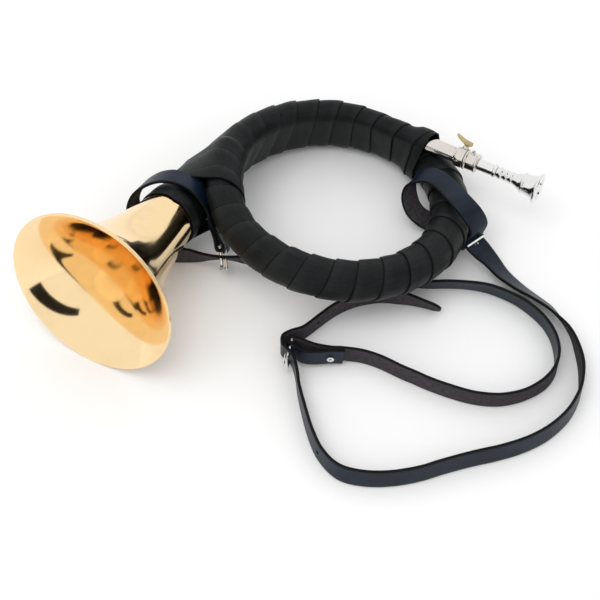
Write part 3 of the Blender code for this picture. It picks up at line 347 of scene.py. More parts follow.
class HornColours(bpy.types.PropertyGroup):
    """Colours of the finishes."""

    gold_brass: colour("Gold Brass", "Polished brass of the bell", (0.97, 0.73, 0.42))
    tube_brass: colour("Tube Brass", "Duller brass of the tubes under the leather", (0.72, 0.52, 0.24))
    screw_brass: colour("Screw Brass", "Tarnished brass of the wing screw", (0.62, 0.50, 0.26))
    nickel: colour("Nickel Silver", "Warm silver of the sleeve and its collars", (0.74, 0.70, 0.65))
    silver: colour("Silver Plate", "Plating of the slide, mouthpiece and buckles", (0.82, 0.82, 0.81))
    wrap: colour("Wrap Leather", "Charcoal leather wound round the tubes", (0.0050, 0.0060, 0.0064))
    strap: colour("Strap Leather", "Smooth side of the strap", (0.0050, 0.0105, 0.0220))
    flesh: colour("Flesh Side", "Rough back of the strap", (0.058, 0.052, 0.058))
    floor: colour("Floor", "Studio floor", (0.96, 0.96, 0.96))


def sizes():
    return bpy.context.scene.hunting_horn_sizes


def colours():
    return bpy.context.scene.hunting_horn_colours


class Value:
    """A socket's value in plain arithmetic; each operation adds a Math node."""

    def __init__(self, finish, socket):
        self.finish = finish
        self.socket = socket

    def __add__(self, other):
        return self.finish.maths("ADD", self, other)

    def __sub__(self, other):
        return self.finish.maths("SUBTRACT", self, other)

    def __rsub__(self, other):
        return self.finish.maths("SUBTRACT", other, self)

    def __mul__(self, other):
        return self.finish.maths("MULTIPLY", self, other)

    __radd__ = __add__


class Finish:
    """A node material with one shader."""

    def __init__(self, name, constants):
        self.material = bpy.data.materials.new(name)
        self.material.use_nodes = True
        self.tree = self.material.node_tree
        self.shader = self.tree.nodes["Principled BSDF"]
        for socket, value in constants.items():
            self.shader.inputs[socket].default_value = value
        self.place = self.node("ShaderNodeTexCoord").outputs["Object"]

    def node(self, kind, settings=None, inputs=None):
        """Add a node: its settings first, then the values or links of its sockets."""
        node = self.tree.nodes.new(kind)
        for key, value in (settings or {}).items():
            setattr(node, key, value)
        for key, value in (inputs or {}).items():
            value = getattr(value, "socket", value)
            if isinstance(value, bpy.types.NodeSocket):
                self.tree.links.new(value, node.inputs[key])
            else:
                node.inputs[key].default_value = value
        return node

    def maths(self, operation, first, second):
        node = self.node("ShaderNodeMath", {"operation": operation}, {0: first, 1: second})
        return Value(self, node.outputs[0])

    def noise(self, scale, detail=3.0, roughness=0.55, place=None):
        """Cloudy variation between 0 and 1."""
        node = self.node(
            "ShaderNodeTexNoise", {"noise_dimensions": "3D"},
            {"Vector": place or self.place, "Scale": scale, "Detail": detail, "Roughness": roughness},
        )
        return Value(self, node.outputs["Fac"])

    def cells(self, scale):
        """Distance to the border of small cells, as in leather grain."""
        node = self.node(
            "ShaderNodeTexVoronoi", {"feature": "DISTANCE_TO_EDGE"}, {"Vector": self.place, "Scale": scale},
        )
        return Value(self, node.outputs["Distance"])

    def stretched(self, scale, turn=(0.0, 0.0, 0.0), place=None):
        """Coordinates turned and stretched, for streaks."""
        node = self.node(
            "ShaderNodeMapping", {}, {"Vector": place or self.place, "Scale": scale, "Rotation": turn},
        )
        return node.outputs["Vector"]

    def between(self, value, low, high, first=0.0, second=1.0):
        """Fade from first to second while the value goes from low to high."""
        node = self.node(
            "ShaderNodeMapRange", {"interpolation_type": "SMOOTHSTEP"},
            {"Value": value, "From Min": low, "From Max": high, "To Min": first, "To Max": second},
        )
        return Value(self, node.outputs["Result"])

    def tint(self, factor, first, second):
        """Colour between two colours."""
        pair = [
            (*colour, 1.0) if isinstance(colour, (tuple, list)) else colour for colour in (first, second)
        ]
        node = self.node("ShaderNodeMix", {"data_type": "RGBA"}, {0: factor, 6: pair[0], 7: pair[1]})
        return node.outputs[2]

    def mottle(self, factor, colour, dark, light):
        """Colour between a darker and a lighter shade of one colour."""
        return self.tint(factor, shade(colour, dark), shade(colour, light))

    def mask(self, name):
        """A value painted on the piece's own faces or points."""
        node = self.node("ShaderNodeAttribute", {"attribute_name": name})
        return Value(self, node.outputs["Fac"])

    def strip(self):
        """Coordinates along and across a strip, in metres."""
        return self.node("ShaderNodeUVMap", {"uv_map": "strip"}).outputs["UV"]

    def feed(self, socket, value):
        self.tree.links.new(getattr(value, "socket", value), self.shader.inputs[socket])

    def relief(self, height, distance, strength=1.0):
        """Bump of the given depth, in metres."""
        node = self.node("ShaderNodeBump", {}, {"Height": height, "Distance": distance, "Strength": strength})
        self.feed("Normal", node.outputs["Normal"])


def shade(colour, share):
    """A colour made darker or lighter by a share."""
    return tuple(min(channel * share, 1.0) for channel in colour)


def polished_metal(name, colour, roughness, tarnish, scratches=0.00001):
    """Polished metal, darkened in faint clouds to a share of its colour, with fingermarks and scratches."""
    metal = Finish(name, {"Metallic": 1.0})
    clouds = metal.noise(38.0, 4.0, 0.6)
    specks = metal.noise(900.0, 2.0, 0.5)
    wear = metal.between(clouds, 0.42, 0.72, 0.0, 0.4)
    metal.feed("Base Color", metal.tint(wear, tuple(colour), shade(colour, tarnish)))
    smear = metal.noise(14.0, 3.0, 0.6)
    gloss = metal.between(smear, 0.40, 0.75, roughness, roughness * 2.1) + specks * (roughness * 0.35)
    metal.feed("Roughness", gloss)
    lines = metal.noise(120.0, 5.0, 0.7, metal.stretched((1.0, 1.0, 22.0), (0.35, 0.2, 0.6)))
    metal.relief(lines + specks * 0.25, scratches, 0.5)
    return metal.material


def wound_leather():
    """Satin charcoal leather: fine pebble grain, stretch creases, paler wear on the raised edges and painted
    shade in the creases between turns.
    """
    shades = colours()
    leather = Finish("wound_leather", {"Specular IOR Level": 0.16, "Coat Roughness": 0.3})
    strip = leather.strip()
    pebbles = leather.between(leather.cells(1250.0), 0.0, 0.32)
    pores = leather.noise(2600.0, 2.0, 0.6)
    along = leather.noise(300.0, 4.0, 0.62, leather.stretched((0.25, 1.9, 1.0), place=strip))
    folds = leather.noise(90.0, 3.0, 0.6, leather.stretched((0.5, 1.3, 1.0), (0.0, 0.0, 0.5), place=strip))
    clouds = leather.noise(55.0, 4.0, 0.6)
    raised = leather.mask("raised")
    worn = leather.between(raised + (clouds - 0.5) * 0.5, 0.72, 1.15)
    base = leather.mottle(leather.between(clouds, 0.35, 0.7), shades.wrap, 0.72, 1.35)
    base = leather.tint(worn * 0.55, base, shade(shades.wrap, 2.6))
    # Painted shade: the leather turns near black in the crease between turns, in the bore and on the strip's
    # cut ends
    crease_shade = leather.between(leather.mask("crease_shade"), 0.2, 0.9)
    base = leather.tint(crease_shade, base, (0.002, 0.002, 0.002))
    leather.feed("Base Color", base)
    gloss = 0.36 + clouds * 0.16 + pores * 0.08 - worn * 0.06 + crease_shade * 0.3
    leather.feed("Roughness", gloss)
    leather.feed("Coat Weight", leather.between(along, 0.35, 0.7, 0.0, 0.10))
    height = pebbles * 0.24 + pores * 0.12 + along * 0.9 + folds * 1.1
    leather.relief(height, 0.00028, 0.75)
    return leather.material


def strap_leather():
    """Strap leather: smooth dark face, rough napped flesh side and burnished black edges."""
    shades = colours()
    leather = Finish("strap_leather", {"Specular IOR Level": 0.18, "Coat Roughness": 0.25})
    strip = leather.strip()
    flesh = leather.mask("flesh")
    edge = leather.mask("edge")
    grain = leather.between(leather.cells(1500.0), 0.0, 0.3)
    pores = leather.noise(3000.0, 2.0, 0.6)
    nap = leather.noise(900.0, 5.0, 0.75)
    fibres = leather.noise(260.0, 5.0, 0.7, leather.stretched((1.0, 2.6, 1.0), place=strip))
    wrinkles = leather.noise(170.0, 4.0, 0.6, leather.stretched((2.2, 0.7, 1.0), place=strip))
    clouds = leather.noise(45.0, 4.0, 0.6)
    face = leather.mottle(leather.between(clouds, 0.35, 0.7), shades.strap, 0.7, 1.5)
    back = leather.mottle(leather.between(fibres, 0.3, 0.75), shades.flesh, 0.55, 1.5)
    back = leather.tint(leather.between(clouds, 0.35, 0.75) * 0.5, back, shade(shades.flesh, 0.6))
    colour = leather.tint(flesh, face, back)
    colour = leather.tint(edge, colour, (0.0018, 0.0018, 0.0022))
    leather.feed("Base Color", colour)
    smooth_gloss = 0.30 + clouds * 0.16 + pores * 0.06
    rough_gloss = 0.74 + nap * 0.16
    gloss = smooth_gloss + (rough_gloss - smooth_gloss) * flesh
    leather.feed("Roughness", gloss + (0.55 - gloss) * edge)
    leather.feed("Coat Weight", (1.0 - flesh) * (1.0 - edge) * 0.08)
    smooth_height = grain * 0.2 + pores * 0.12 + wrinkles * 0.55
    rough_height = nap * 0.8 + fibres * 0.9
    height = smooth_height + (rough_height - smooth_height) * flesh
    leather.relief(height, 0.00026, 0.8)
    return leather.material


def clamped(share):
    return min(max(share, 0.0), 1.0)


def eased(share):
    """Share that starts and ends softly."""
    share = clamped(share)
    return share * share * (3 - 2 * share)


def smooth(knots, place):
    """Height of a curve through the knots that never overshoots them."""
    xs = [knot[0] for knot in knots]
    ys = [knot[1] for knot in knots]
    last = len(xs) - 1
    place = min(max(place, xs[0]), xs[-1])
    step = [xs[i + 1] - xs[i] for i in range(last)]
    rise = [(ys[i + 1] - ys[i]) / step[i] for i in range(last)]
    slope = [rise[0]]
    for i in range(1, last):
        product = rise[i - 1] * rise[i]
        slope.append(2 * product / (rise[i - 1] + rise[i]) if product > 0 else 0.0)
    slope.append(rise[-1])
    i = max(k for k in range(last) if xs[k] <= place)
    t = (place - xs[i]) / step[i]
    ends = ys[i] * (1 + 2 * t) * (1 - t) ** 2 + ys[i + 1] * t * t * (3 - 2 * t)
    bends = step[i] * (slope[i] * t * (1 - t) ** 2 - slope[i + 1] * t * t * (1 - t))
    return ends + bends


def bell_radius(behind):
    """Outer radius of the bell and its stem at a distance behind the bell's edge."""
    return BELL_RADIUS * (BELL_REACH / (BELL_REACH + behind)) ** BELL_POWER


def path_point(degrees):
    """Centre of the air column: straight mouthpipe, coil, straight tail."""
    turn = min(max(degrees, PIPE_ANGLE), TAIL_ANGLE)
    radius = COIL_RADIUS + COIL_SPREAD * (turn - COIL_MIDDLE) / 360
    angle = math.radians(turn)
    height = smooth(COIL_HEIGHTS, degrees) / 1000
    point = Vector((radius * math.cos(angle), radius * math.sin(angle), height))
    if degrees < PIPE_ANGLE:
        point += Vector((math.sin(angle), -math.cos(angle), 0)) * (PIPE_ANGLE - degrees) * STRAIGHT_STEP
    if degrees > TAIL_ANGLE:
        point += Vector((-math.sin(angle), math.cos(angle), 0)) * (degrees - TAIL_ANGLE) * STRAIGHT_STEP
    return point


PIPE_START = path_point(PIPE_ANGLE)
PIPE_AXIS = Vector((math.sin(math.radians(PIPE_ANGLE)), -math.cos(math.radians(PIPE_ANGLE)), 0))
BELL_CENTRE = path_point(BELL_PLACE)
BELL_AXIS = (BELL_CENTRE - path_point(BELL_AXIS_PLACE)).normalized()
TAIL_STEP = STRAIGHT_STEP / math.hypot(BELL_AXIS.x, BELL_AXIS.y)


def path_radius(degrees):
    """Outer radius of the bare tube."""
    if degrees <= TAIL_ANGLE:
        return smooth(TUBE_RADII, degrees) / 1000
    return bell_radius((BELL_PLACE - degrees) * TAIL_STEP)


def path_forward(degrees):
    return (path_point(degrees + 0.5) - path_point(degrees - 0.5)).normalized()


def lay_along(centre, axis):
    """Place of a turned piece on the horn: its +Z along an axis of the ring frame."""
    return LAID @ Matrix.Translation(centre) @ axis.to_track_quat("Z", "Y").to_matrix().to_4x4()


def pipe_matrix(place, lean):
    """Place on the pipe's axis whose +Z leans from the coil's axis towards the outer side."""
    outward = Vector((math.cos(math.radians(PIPE_ANGLE)), math.sin(math.radians(PIPE_ANGLE)), 0))
    up = math.cos(math.radians(lean)) * Vector((0, 0, 1)) + math.sin(math.radians(lean)) * outward
    side = up.cross(PIPE_AXIS)
    turn = Matrix((PIPE_AXIS, side, up)).transposed().to_4x4()
    return LAID @ Matrix.Translation(PIPE_START + PIPE_AXIS * place) @ turn


def deselect():
    if bpy.context.object and bpy.context.object.mode != "OBJECT":
        bpy.ops.object.mode_set(mode="OBJECT")
    bpy.ops.object.select_all(action="DESELECT")


def alone(item):
    """Make one object the only selected and active one."""
    deselect()
    item.select_set(True)
    bpy.context.view_layer.objects.active = item


def soften(item, angle):
    alone(item)
    bpy.ops.object.shade_smooth_by_angle(angle=math.radians(angle))


def open_mesh():
    """Edit the active piece's mesh, all of it selected."""
    bpy.ops.object.mode_set(mode="EDIT")
    bpy.ops.mesh.select_all(action="SELECT")


def close_mesh(merge):
    """Merge the seams of the mesh being edited, if it has any, and turn its faces outwards."""
    bpy.ops.mesh.select_all(action="SELECT")
    if merge:
        bpy.ops.mesh.remove_doubles(threshold=merge)
    bpy.ops.mesh.normals_make_consistent(inside=False)
    bpy.ops.object.mode_set(mode="OBJECT")
    return bpy.context.object


def settle(item, place, angle=35):
    """Lay a finished mesh in its place and smooth its shading up to an angle."""
    item.data.transform(place)
    soften(item, angle)
    return item


def repair(mesh, merge=0.0):
    """Turn a mesh's faces outwards, after its doubled points are merged if it has any."""
    work = bmesh.new()
    work.from_mesh(mesh)
    if merge:
        bmesh.ops.remove_doubles(work, verts=work.verts, dist=merge)
        bmesh.ops.dissolve_degenerate(work, edges=work.edges, dist=merge / 4)
    bmesh.ops.recalc_face_normals(work, faces=work.faces)
    work.to_mesh(mesh)
    work.free()


def modify(item, kind, settings):
    """Apply one modifier to a piece."""
    alone(item)
    modifier = item.modifiers.new(kind, kind)
    for key, value in settings.items():
        setattr(modifier, key, value)
    bpy.ops.object.modifier_apply(modifier=modifier.name)


def rounded(profile, size, steps=4):
    """Profile with its inner corners rounded over a size, its two ends kept."""
    points = [Vector(point) for point in profile]
    result = [points[0]]
    for before, corner, after in zip(points, points[1:], points[2:]):
        back = before - corner
        ahead = after - corner
        start = corner + back.normalized() * min(size, back.length * 0.48)
        end = corner + ahead.normalized() * min(size, ahead.length * 0.48)
        for step in range(steps + 1):
            t = step / steps
            result.append(start * (1 - t) ** 2 + corner * 2 * t * (1 - t) + end * t * t)
    result.append(points[-1])
    return [tuple(point) for point in result]


def turned(name, profile, sides, place):
    """Turn a closed profile of radius and height about the piece's axis, as on a lathe."""
    deselect()
    bpy.ops.mesh.primitive_circle_add(vertices=len(profile), radius=0.01, fill_type="NOTHING")
    item = bpy.context.object
    item.name = name
    item.data.name = name
    for vertex, (radius, height) in zip(item.data.vertices, profile):
        vertex.co = (radius, 0, height)
    open_mesh()
    bpy.ops.mesh.spin(steps=sides, angle=math.tau, center=(0, 0, 0), axis=(0, 0, 1))
    return settle(close_mesh(TURNED_MERGE), place)


def finish_piece(item, material, body, node):
    """Give a piece its material and its body, and hide the solid that it stands for."""
    item.data.materials.clear()
    item.data.materials.append(material)
    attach(item, body)
    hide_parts(node)


def mesh_piece(name, vertices, faces):
    """New piece from points and faces."""
    mesh = bpy.data.meshes.new(name)
    mesh.from_pydata([tuple(vertex) for vertex in vertices], [], faces)
    item = bpy.data.objects.new(name, mesh)
    bpy.context.scene.collection.objects.link(item)
    return item


class HORN_OT_stage(bpy.types.Operator):
    """Camera at the photograph's view, pale floor, soft lamp and pale surroundings"""

    bl_idname = "hunting_horn.stage"
    bl_label = "Studio"

    def execute(self, context):
        scene = context.scene
        scene.view_settings.view_transform = "Standard"
        place = Matrix(CAMERA_PLACE)
        deselect()
        bpy.ops.object.camera_add()
        camera = context.object
        camera.name = "camera"
        camera.data.lens = CAMERA_LENS
        camera.data.sensor_width = CAMERA_SENSOR
        camera.data.sensor_fit = "HORIZONTAL"
        camera.matrix_world = Matrix.LocRotScale(place.to_translation(), place.to_quaternion(), None)
        scene.camera = camera

        deselect()
        bpy.ops.mesh.primitive_grid_add(x_subdivisions=8, y_subdivisions=8, size=sizes().floor_size)
        floor = context.object
        floor.name = "floor"
        paper = Finish("studio_paper", {"Specular IOR Level": 0.1, "Roughness": 0.9})
        paper.feed("Base Color", paper.mottle(paper.noise(500.0, 3.0), colours().floor, 0.985, 1.0))
        floor.data.materials.append(paper.material)

        self.lamp(*LAMP)
        for card in CARDS:
            self.card(*card)

        world = bpy.data.worlds.new("studio")
        scene.world = world
        world.use_nodes = True
        nodes = world.node_tree.nodes
        links = world.node_tree.links
        background = nodes["Background"]
        background.inputs["Color"].default_value = (1.0, 1.0, 1.0, 1.0)
        rays = nodes.new("ShaderNodeLightPath").outputs
        seen = rays["Is Camera Ray"]
        for kind in ("Is Glossy Ray", "Is Transmission Ray"):
            either = nodes.new("ShaderNodeMath")
            either.operation = "MAXIMUM"
            links.new(seen, either.inputs[0])
            links.new(rays[kind], either.inputs[1])
            seen = either.outputs[0]
        level = nodes.new("ShaderNodeMapRange")
        level.inputs["To Min"].default_value = ROOM_LIGHT
        level.inputs["To Max"].default_value = ROOM_SEEN
        links.new(seen, level.inputs["Value"])
        links.new(level.outputs[0], background.inputs["Strength"])
        return {"FINISHED"}

    def lamp(self, name, place, target, size, power):
        deselect()
        bpy.ops.object.light_add(type="AREA", location=place)
        lamp = bpy.context.object
        lamp.name = name
        lamp.rotation_euler = (Vector(place) - Vector(target)).to_track_quat("Z", "Y").to_euler()
        lamp.data.size = size
        lamp.data.energy = power
        lamp.visible_glossy = False

    def card(self, name, place, target, width, height):
        """Dark card beside the object, seen only in its polished metal."""
        deselect()
        bpy.ops.mesh.primitive_grid_add(x_subdivisions=4, y_subdivisions=4, size=1.0)
        card = bpy.context.object
        card.name = name
        turn = (Vector(place) - Vector(target)).to_track_quat("Z", "Y").to_matrix().to_4x4()
        card.data.transform(Matrix.Translation(place) @ turn @ Matrix.Diagonal((width, height, 1.0, 1.0)))
        cloth = Finish("dark_card", {"Roughness": 1.0, "Specular IOR Level": 0.0})
        weave = cloth.noise(300.0, 2.0)
        cloth.feed("Base Color", cloth.tint(weave, (0.012, 0.011, 0.010), (0.02, 0.018, 0.016)))
        card.data.materials.append(cloth.material)
        card.visible_camera = False
        card.visible_diffuse = False
        card.visible_shadow = False
        card.visible_transmission = False


def strap_path(knots, steps, twist=None):
    """Points and width directions of a smooth curve through the strap's knots, in metres.

    A twist turns the strap over between two of its knots, as a strap laid down by hand turns over.
    """
    rows = [Vector(knot[:3]) / 1000 for knot in knots]
    widths = []
    for knot in knots:
        widths.append(Vector(knot[3:]).normalized() if knot[3:] else widths[-1])
    places = []
    for i in range(len(rows) - 1):
        picks = [max(i - 1, 0), i, i + 1, min(i + 2, len(rows) - 1)]
        for step in range(steps + (i == len(rows) - 2)):
            t = step / steps
            places.append((blend(rows, picks, t), blend(widths, picks, t)))
    path = []
    for i, (point, width) in enumerate(places):
        along = (places[min(i + 1, len(places) - 1)][0] - places[max(i - 1, 0)][0]).normalized()
        width = (width - along * width.dot(along)).normalized()
        if twist:
            first, last = twist
            turn = math.pi * eased((i / steps - first) / (last - first))
            width = Matrix.Rotation(turn, 3, along) @ width
        path.append((point, width, along.cross(width)))
    return path


def blend(values, picks, t):
    """Point on a curve through the second and third of four picked values."""
    a, b, c, d = (values[pick] for pick in picks)
    bend = 2 * a - 5 * b + 4 * c - d
    return 0.5 * (2 * b + (c - a) * t + bend * t * t + (3 * b - a - 3 * c + d) * t ** 3)


def strap_section(width, thickness):
    """Section of a strap: across, up, and 1 on its face, -1 on its back, 0 on its burnished edges."""
    half = width / 2
    thick = thickness / 2
    inner = half - thick * 0.5
    face = [(inner - 2 * inner * step / 8, thick, 1.0) for step in range(9)]
    back = [(2 * inner * step / 8 - inner, -thick, -1.0) for step in range(9)]
    left = [
        (-half + thick * 0.14, thick * 0.8, 0.0), (-half, thick * 0.4, 0.0),
        (-half, -thick * 0.4, 0.0), (-half + thick * 0.14, -thick * 0.8, 0.0),
    ]
    right = [(-x, z, 0.0) for x, z, _ in reversed(left)]
    return face + left + back + right


def strap(name, knots, steps, tongue, twist=None):
    """Flat leather strap swept along its path, with a map along it and masks for its back and edges."""
    width = sizes().strap_width
    thickness = sizes().strap_thickness
    path = strap_path(knots, steps, twist)
    section = strap_section(width, thickness)
    count = len(section)
    along = [0.0]
    for (point, _, _), (previous, _, _) in zip(path[1:], path):
        along.append(along[-1] + (point - previous).length)
    total = along[-1]
    vertices = []
    for (point, across, up), distance in zip(path, along):
        share = 1.0
        left = total - distance
        if tongue and left < TONGUE_TIP:
            share = max(math.sqrt(max(1 - (1 - left / TONGUE_TIP) ** 2, 0.0)), TIP_LEAST)
        for x, z, _ in section:
            wave = noise.noise((point + across * x) * STRAP_WAVES_CLOSE) * STRAP_WAVES_DEEP
            vertices.append(point + across * x * share + up * (z + wave))
    faces = []
    masks = []
    marks = []
    for i in range(len(path) - 1):
        for k in range(count):
            following = (k + 1) % count
            here = i * count
            there = here + count
            faces.append((here + k, here + following, there + following, there + k))
            masks.append((section[k][2], section[following][2]))
            marks.append((
                (along[i], section[k][0]), (along[i], section[following][0]),
                (along[i + 1], section[following][0]), (along[i + 1], section[k][0]),
            ))
    faces.append(tuple(range(count - 1, -1, -1)))
    faces.append(tuple(range((len(path) - 1) * count, len(path) * count)))
    item = mesh_piece(name, vertices, faces)
    mesh = item.data
    flesh = mesh.attributes.new("flesh", "FLOAT", "CORNER")
    edge = mesh.attributes.new("edge", "FLOAT", "CORNER")
    uv = mesh.uv_layers.new(name="strip")
    for polygon in mesh.polygons:
        if polygon.index >= len(masks):
            for loop in polygon.loop_indices:
                edge.data[loop].value = 1.0
            continue
        kinds = masks[polygon.index]
        on_edge = 1.0 if 0.0 in kinds else 0.0
        on_back = 1.0 if kinds == (-1.0, -1.0) else 0.0
        for loop, mark in zip(polygon.loop_indices, marks[polygon.index]):
            edge.data[loop].value = on_edge
            flesh.data[loop].value = on_back
            uv.data[loop].uv = mark
    repair(mesh)
    return item


def axis_matrix(origin, axis):
    """Place at a point given in millimetres with +Z along an axis."""
    turn = Vector(axis).to_track_quat("Z", "Y").to_matrix().to_4x4()
    return Matrix.Translation(Vector(origin) / 1000) @ turn


def buckle_matrix(origin, bar, depth):
    """Place on a heel bar: +X towards the far bar, +Z along the bar."""
    up = Vector(bar).normalized()
    forward = Vector(depth)
    forward = (forward - up * forward.dot(up)).normalized()
    turn = Matrix((forward, up.cross(forward), up)).transposed().to_4x4()
    return Matrix.Translation(Vector(origin) / 1000) @ turn


def prong_line(side):
    """Place of the prong's middle line in its buckle, +Z towards its tip."""
    return Matrix.Translation((0, side * PRONG_RISE, 0)) @ Matrix.Rotation(math.pi / 2, 4, "Y")


def punch(item, radius, low, high, place, sides=24, folded=False):
    """Cut a round hole or slot through a piece with a Boolean."""
    deselect()
    bpy.ops.mesh.primitive_cylinder_add(vertices=sides, radius=radius, depth=high - low)
    cutter = bpy.context.object
    cutter.data.transform(place @ Matrix.Translation((0, 0, (low + high) / 2)))
    modify(item, "BOOLEAN", {
        "solver": "EXACT", "operation": "DIFFERENCE", "object": cutter, "use_self": folded,
    })
    bpy.data.meshes.remove(cutter.data)


class HORN_OT_straps(bpy.types.Operator):
    """Both halves of the carrying strap, with their eyes, prong holes and punched holes"""

    bl_idname = "hunting_horn.straps"
    bl_label = "Carrying Strap"

    def execute(self, context):
        leather = strap_leather()
        tongue_part = strap("strap_with_tongue", TONGUE_PART, STRAP_STEPS, True)
        buckle_part = strap("strap_with_buckle", BUCKLE_PART, STRAP_STEPS, False, TURNED_OVER)
        folded = {"adjusting": buckle_part, "coil_loop": tongue_part, "throat_loop": buckle_part}
        pierced = {"adjusting": tongue_part, "coil_loop": tongue_part, "throat_loop": buckle_part}
        for name, origin, bar, depth, side in BUCKLES:
            place = buckle_matrix(origin, bar, depth) @ prong_line(side)
            punch(pierced[name], PRONG_HOLE, HOLE_START, FRAME_DEPTH - HOLE_MARGIN, place)
        for (name, origin, axis, half), piece in zip(RIVETS, (buckle_part, tongue_part, buckle_part)):
            far = half / 1000 + RIVET_FLANGE
            punch(piece, RIVET_HOLE, -far, far, axis_matrix(origin, axis))
        for origin, axis in PUNCHED:
            through = sizes().strap_thickness
            punch(tongue_part, PUNCH_RADIUS, -through, through, axis_matrix(origin, axis))
        for name, origin, bar, depth, side in BUCKLES:
            place = buckle_matrix(origin, bar, depth)
            punch(folded[name], SLOT_RADIUS, -PRONG_SLOT / 2, PRONG_SLOT / 2, place, 32, True)
        for piece, node in ((tongue_part, "strap_tongue_part"), (buckle_part, "strap_buckle_part")):
            soften(piece, 50)
            finish_piece(piece, leather, "horn", node)
        return {"FINISHED"}


def ring_of_wire(name, radius, place):
    """Start of a bent wire: one round ring of edges across the place's Z, selected in edit mode."""
    deselect()
    bpy.ops.mesh.primitive_circle_add(vertices=WIRE_SIDES, radius=radius, fill_type="NOTHING")
    item = bpy.context.object
    item.name = name
    item.data.name = name
    item.data.transform(place)
    open_mesh()


def pull(vector):
    bpy.ops.mesh.extrude_region_move(TRANSFORM_OT_translate={"value": tuple(vector)})


def bend(centre, axis, angle, steps):
    bpy.ops.mesh.spin(steps=steps, angle=math.radians(angle), center=centre, axis=axis)


def buckle_frame(name, place):
    """Wire bent at four corners into the buckle's frame."""
    low = FRAME_CORNER
    high = FRAME_DEPTH - FRAME_CORNER
    up = FRAME_LENGTH / 2 - FRAME_CORNER
    ring_of_wire(name, WIRE_RADIUS, Matrix())
    corners = ((low, up), (high, up), (high, -up), (low, -up))
    pulls = ((0, 0, up), (high - low, 0, 0), (0, 0, -2 * up), (low - high, 0, 0))
    for step, (x, z) in zip(pulls, corners):
        pull(step)
        bend((x, 0, z), (0, 1, 0), 90, 8)
    pull((0, 0, up))
    return settle(close_mesh(WIRE_MERGE), place, 50)


def buckle_prong(name, place, side):
    """Prong curled round the heel bar, straight across the frame, narrowed and rounded at its tip."""
    ring_of_wire(name, PRONG_RADIUS, prong_line(side))
    half = (FRAME_DEPTH / 2, 0, 0)
    pull(half)
    pull(half)
    tip = FRAME_DEPTH
    for step, scale in ((0.45, 0.96), (0.35, 0.9), (0.3, 0.82), (0.25, 0.7), (0.15, 0.45)):
        pull((PRONG_REACH * step / 1.5, 0, 0))
        tip += PRONG_REACH * step / 1.5
        bpy.ops.transform.resize(value=(scale, scale, scale), center_override=(tip, side * PRONG_RISE, 0))
    bpy.ops.mesh.edge_face_add()
    bpy.ops.mesh.select_all(action="DESELECT")
    bpy.ops.object.mode_set(mode="OBJECT")
    item = bpy.context.object
    for vertex in item.data.vertices:
        vertex.select = abs(vertex.co.x) < 0.000001
    for edge in item.data.edges:
        edge.select = all(item.data.vertices[i].select for i in edge.vertices)
    bpy.ops.object.mode_set(mode="EDIT")
    bpy.ops.mesh.select_mode(type="VERT")
    bend((0, 0, 0), (0, 0, 1), side * 240, 20)
    bpy.ops.mesh.edge_face_add()
    return settle(close_mesh(WIRE_MERGE), place, 50)


class HORN_OT_buckles(bpy.types.Operator):
    """Three wire buckles with their prongs, and the tubular rivets of the folds"""

    bl_idname = "hunting_horn.buckles"
    bl_label = "Buckles and Rivets"

    def execute(self, context):
        silver = polished_metal("buckle_silver", colours().silver, 0.08, 0.72, 0.00002)
        for name, origin, bar, depth, side in BUCKLES:
            short = name.split("_")[0]
            place = buckle_matrix(origin, bar, depth)
            wire = buckle_frame(short + "_buckle", place)
            finish_piece(wire, silver, "horn", name + "_buckle_frame")
            prong = buckle_prong(short + "_prong", place, side)
            finish_piece(prong, silver, name + "_prong", name + "_buckle_prong")
        for name, origin, axis, half in RIVETS:
            near = half / 1000
            far = near + RIVET_FLANGE
            middle = (near + far) / 2
            head = RIVET_HEAD - RIVET_BORE_FLARE
            profile = [
                (head, far), (RIVET_HEAD, middle), (head, near), (RIVET_SHANK, near), (RIVET_SHANK, -near),
                (head, -near), (RIVET_HEAD, -middle), (head, -far), (RIVET_BORE + RIVET_BORE_FLARE, -far),
                (RIVET_BORE, -near), (RIVET_BORE, near), (RIVET_BORE + RIVET_BORE_FLARE, far),
            ]
            short = name.split("_")[0] + "_rivet"
            rivet = turned(short, rounded(profile, 0.0003, 3), 32, axis_matrix(origin, axis))
            finish_piece(rivet, silver, "horn", name)
        self.declare("strap_with_tongue", TONGUE_PART, False, TONGUE_PART_LENGTH, [
            "coil_buckle", "coil_prong", "coil_rivet",
        ])
        self.declare("strap_with_buckle", BUCKLE_PART, True, BUCKLE_PART_LENGTH, [
            "adjusting_buckle", "adjusting_prong", "adjusting_rivet",
            "throat_buckle", "throat_prong", "throat_rivet",
        ])
        return {"FINISHED"}

    def declare(self, name, knots, backwards, length, pieces):
        path = [tuple(point) for point, _, _ in strap_path(knots, STRAP_STEPS)]
        if backwards:
            path.reverse()


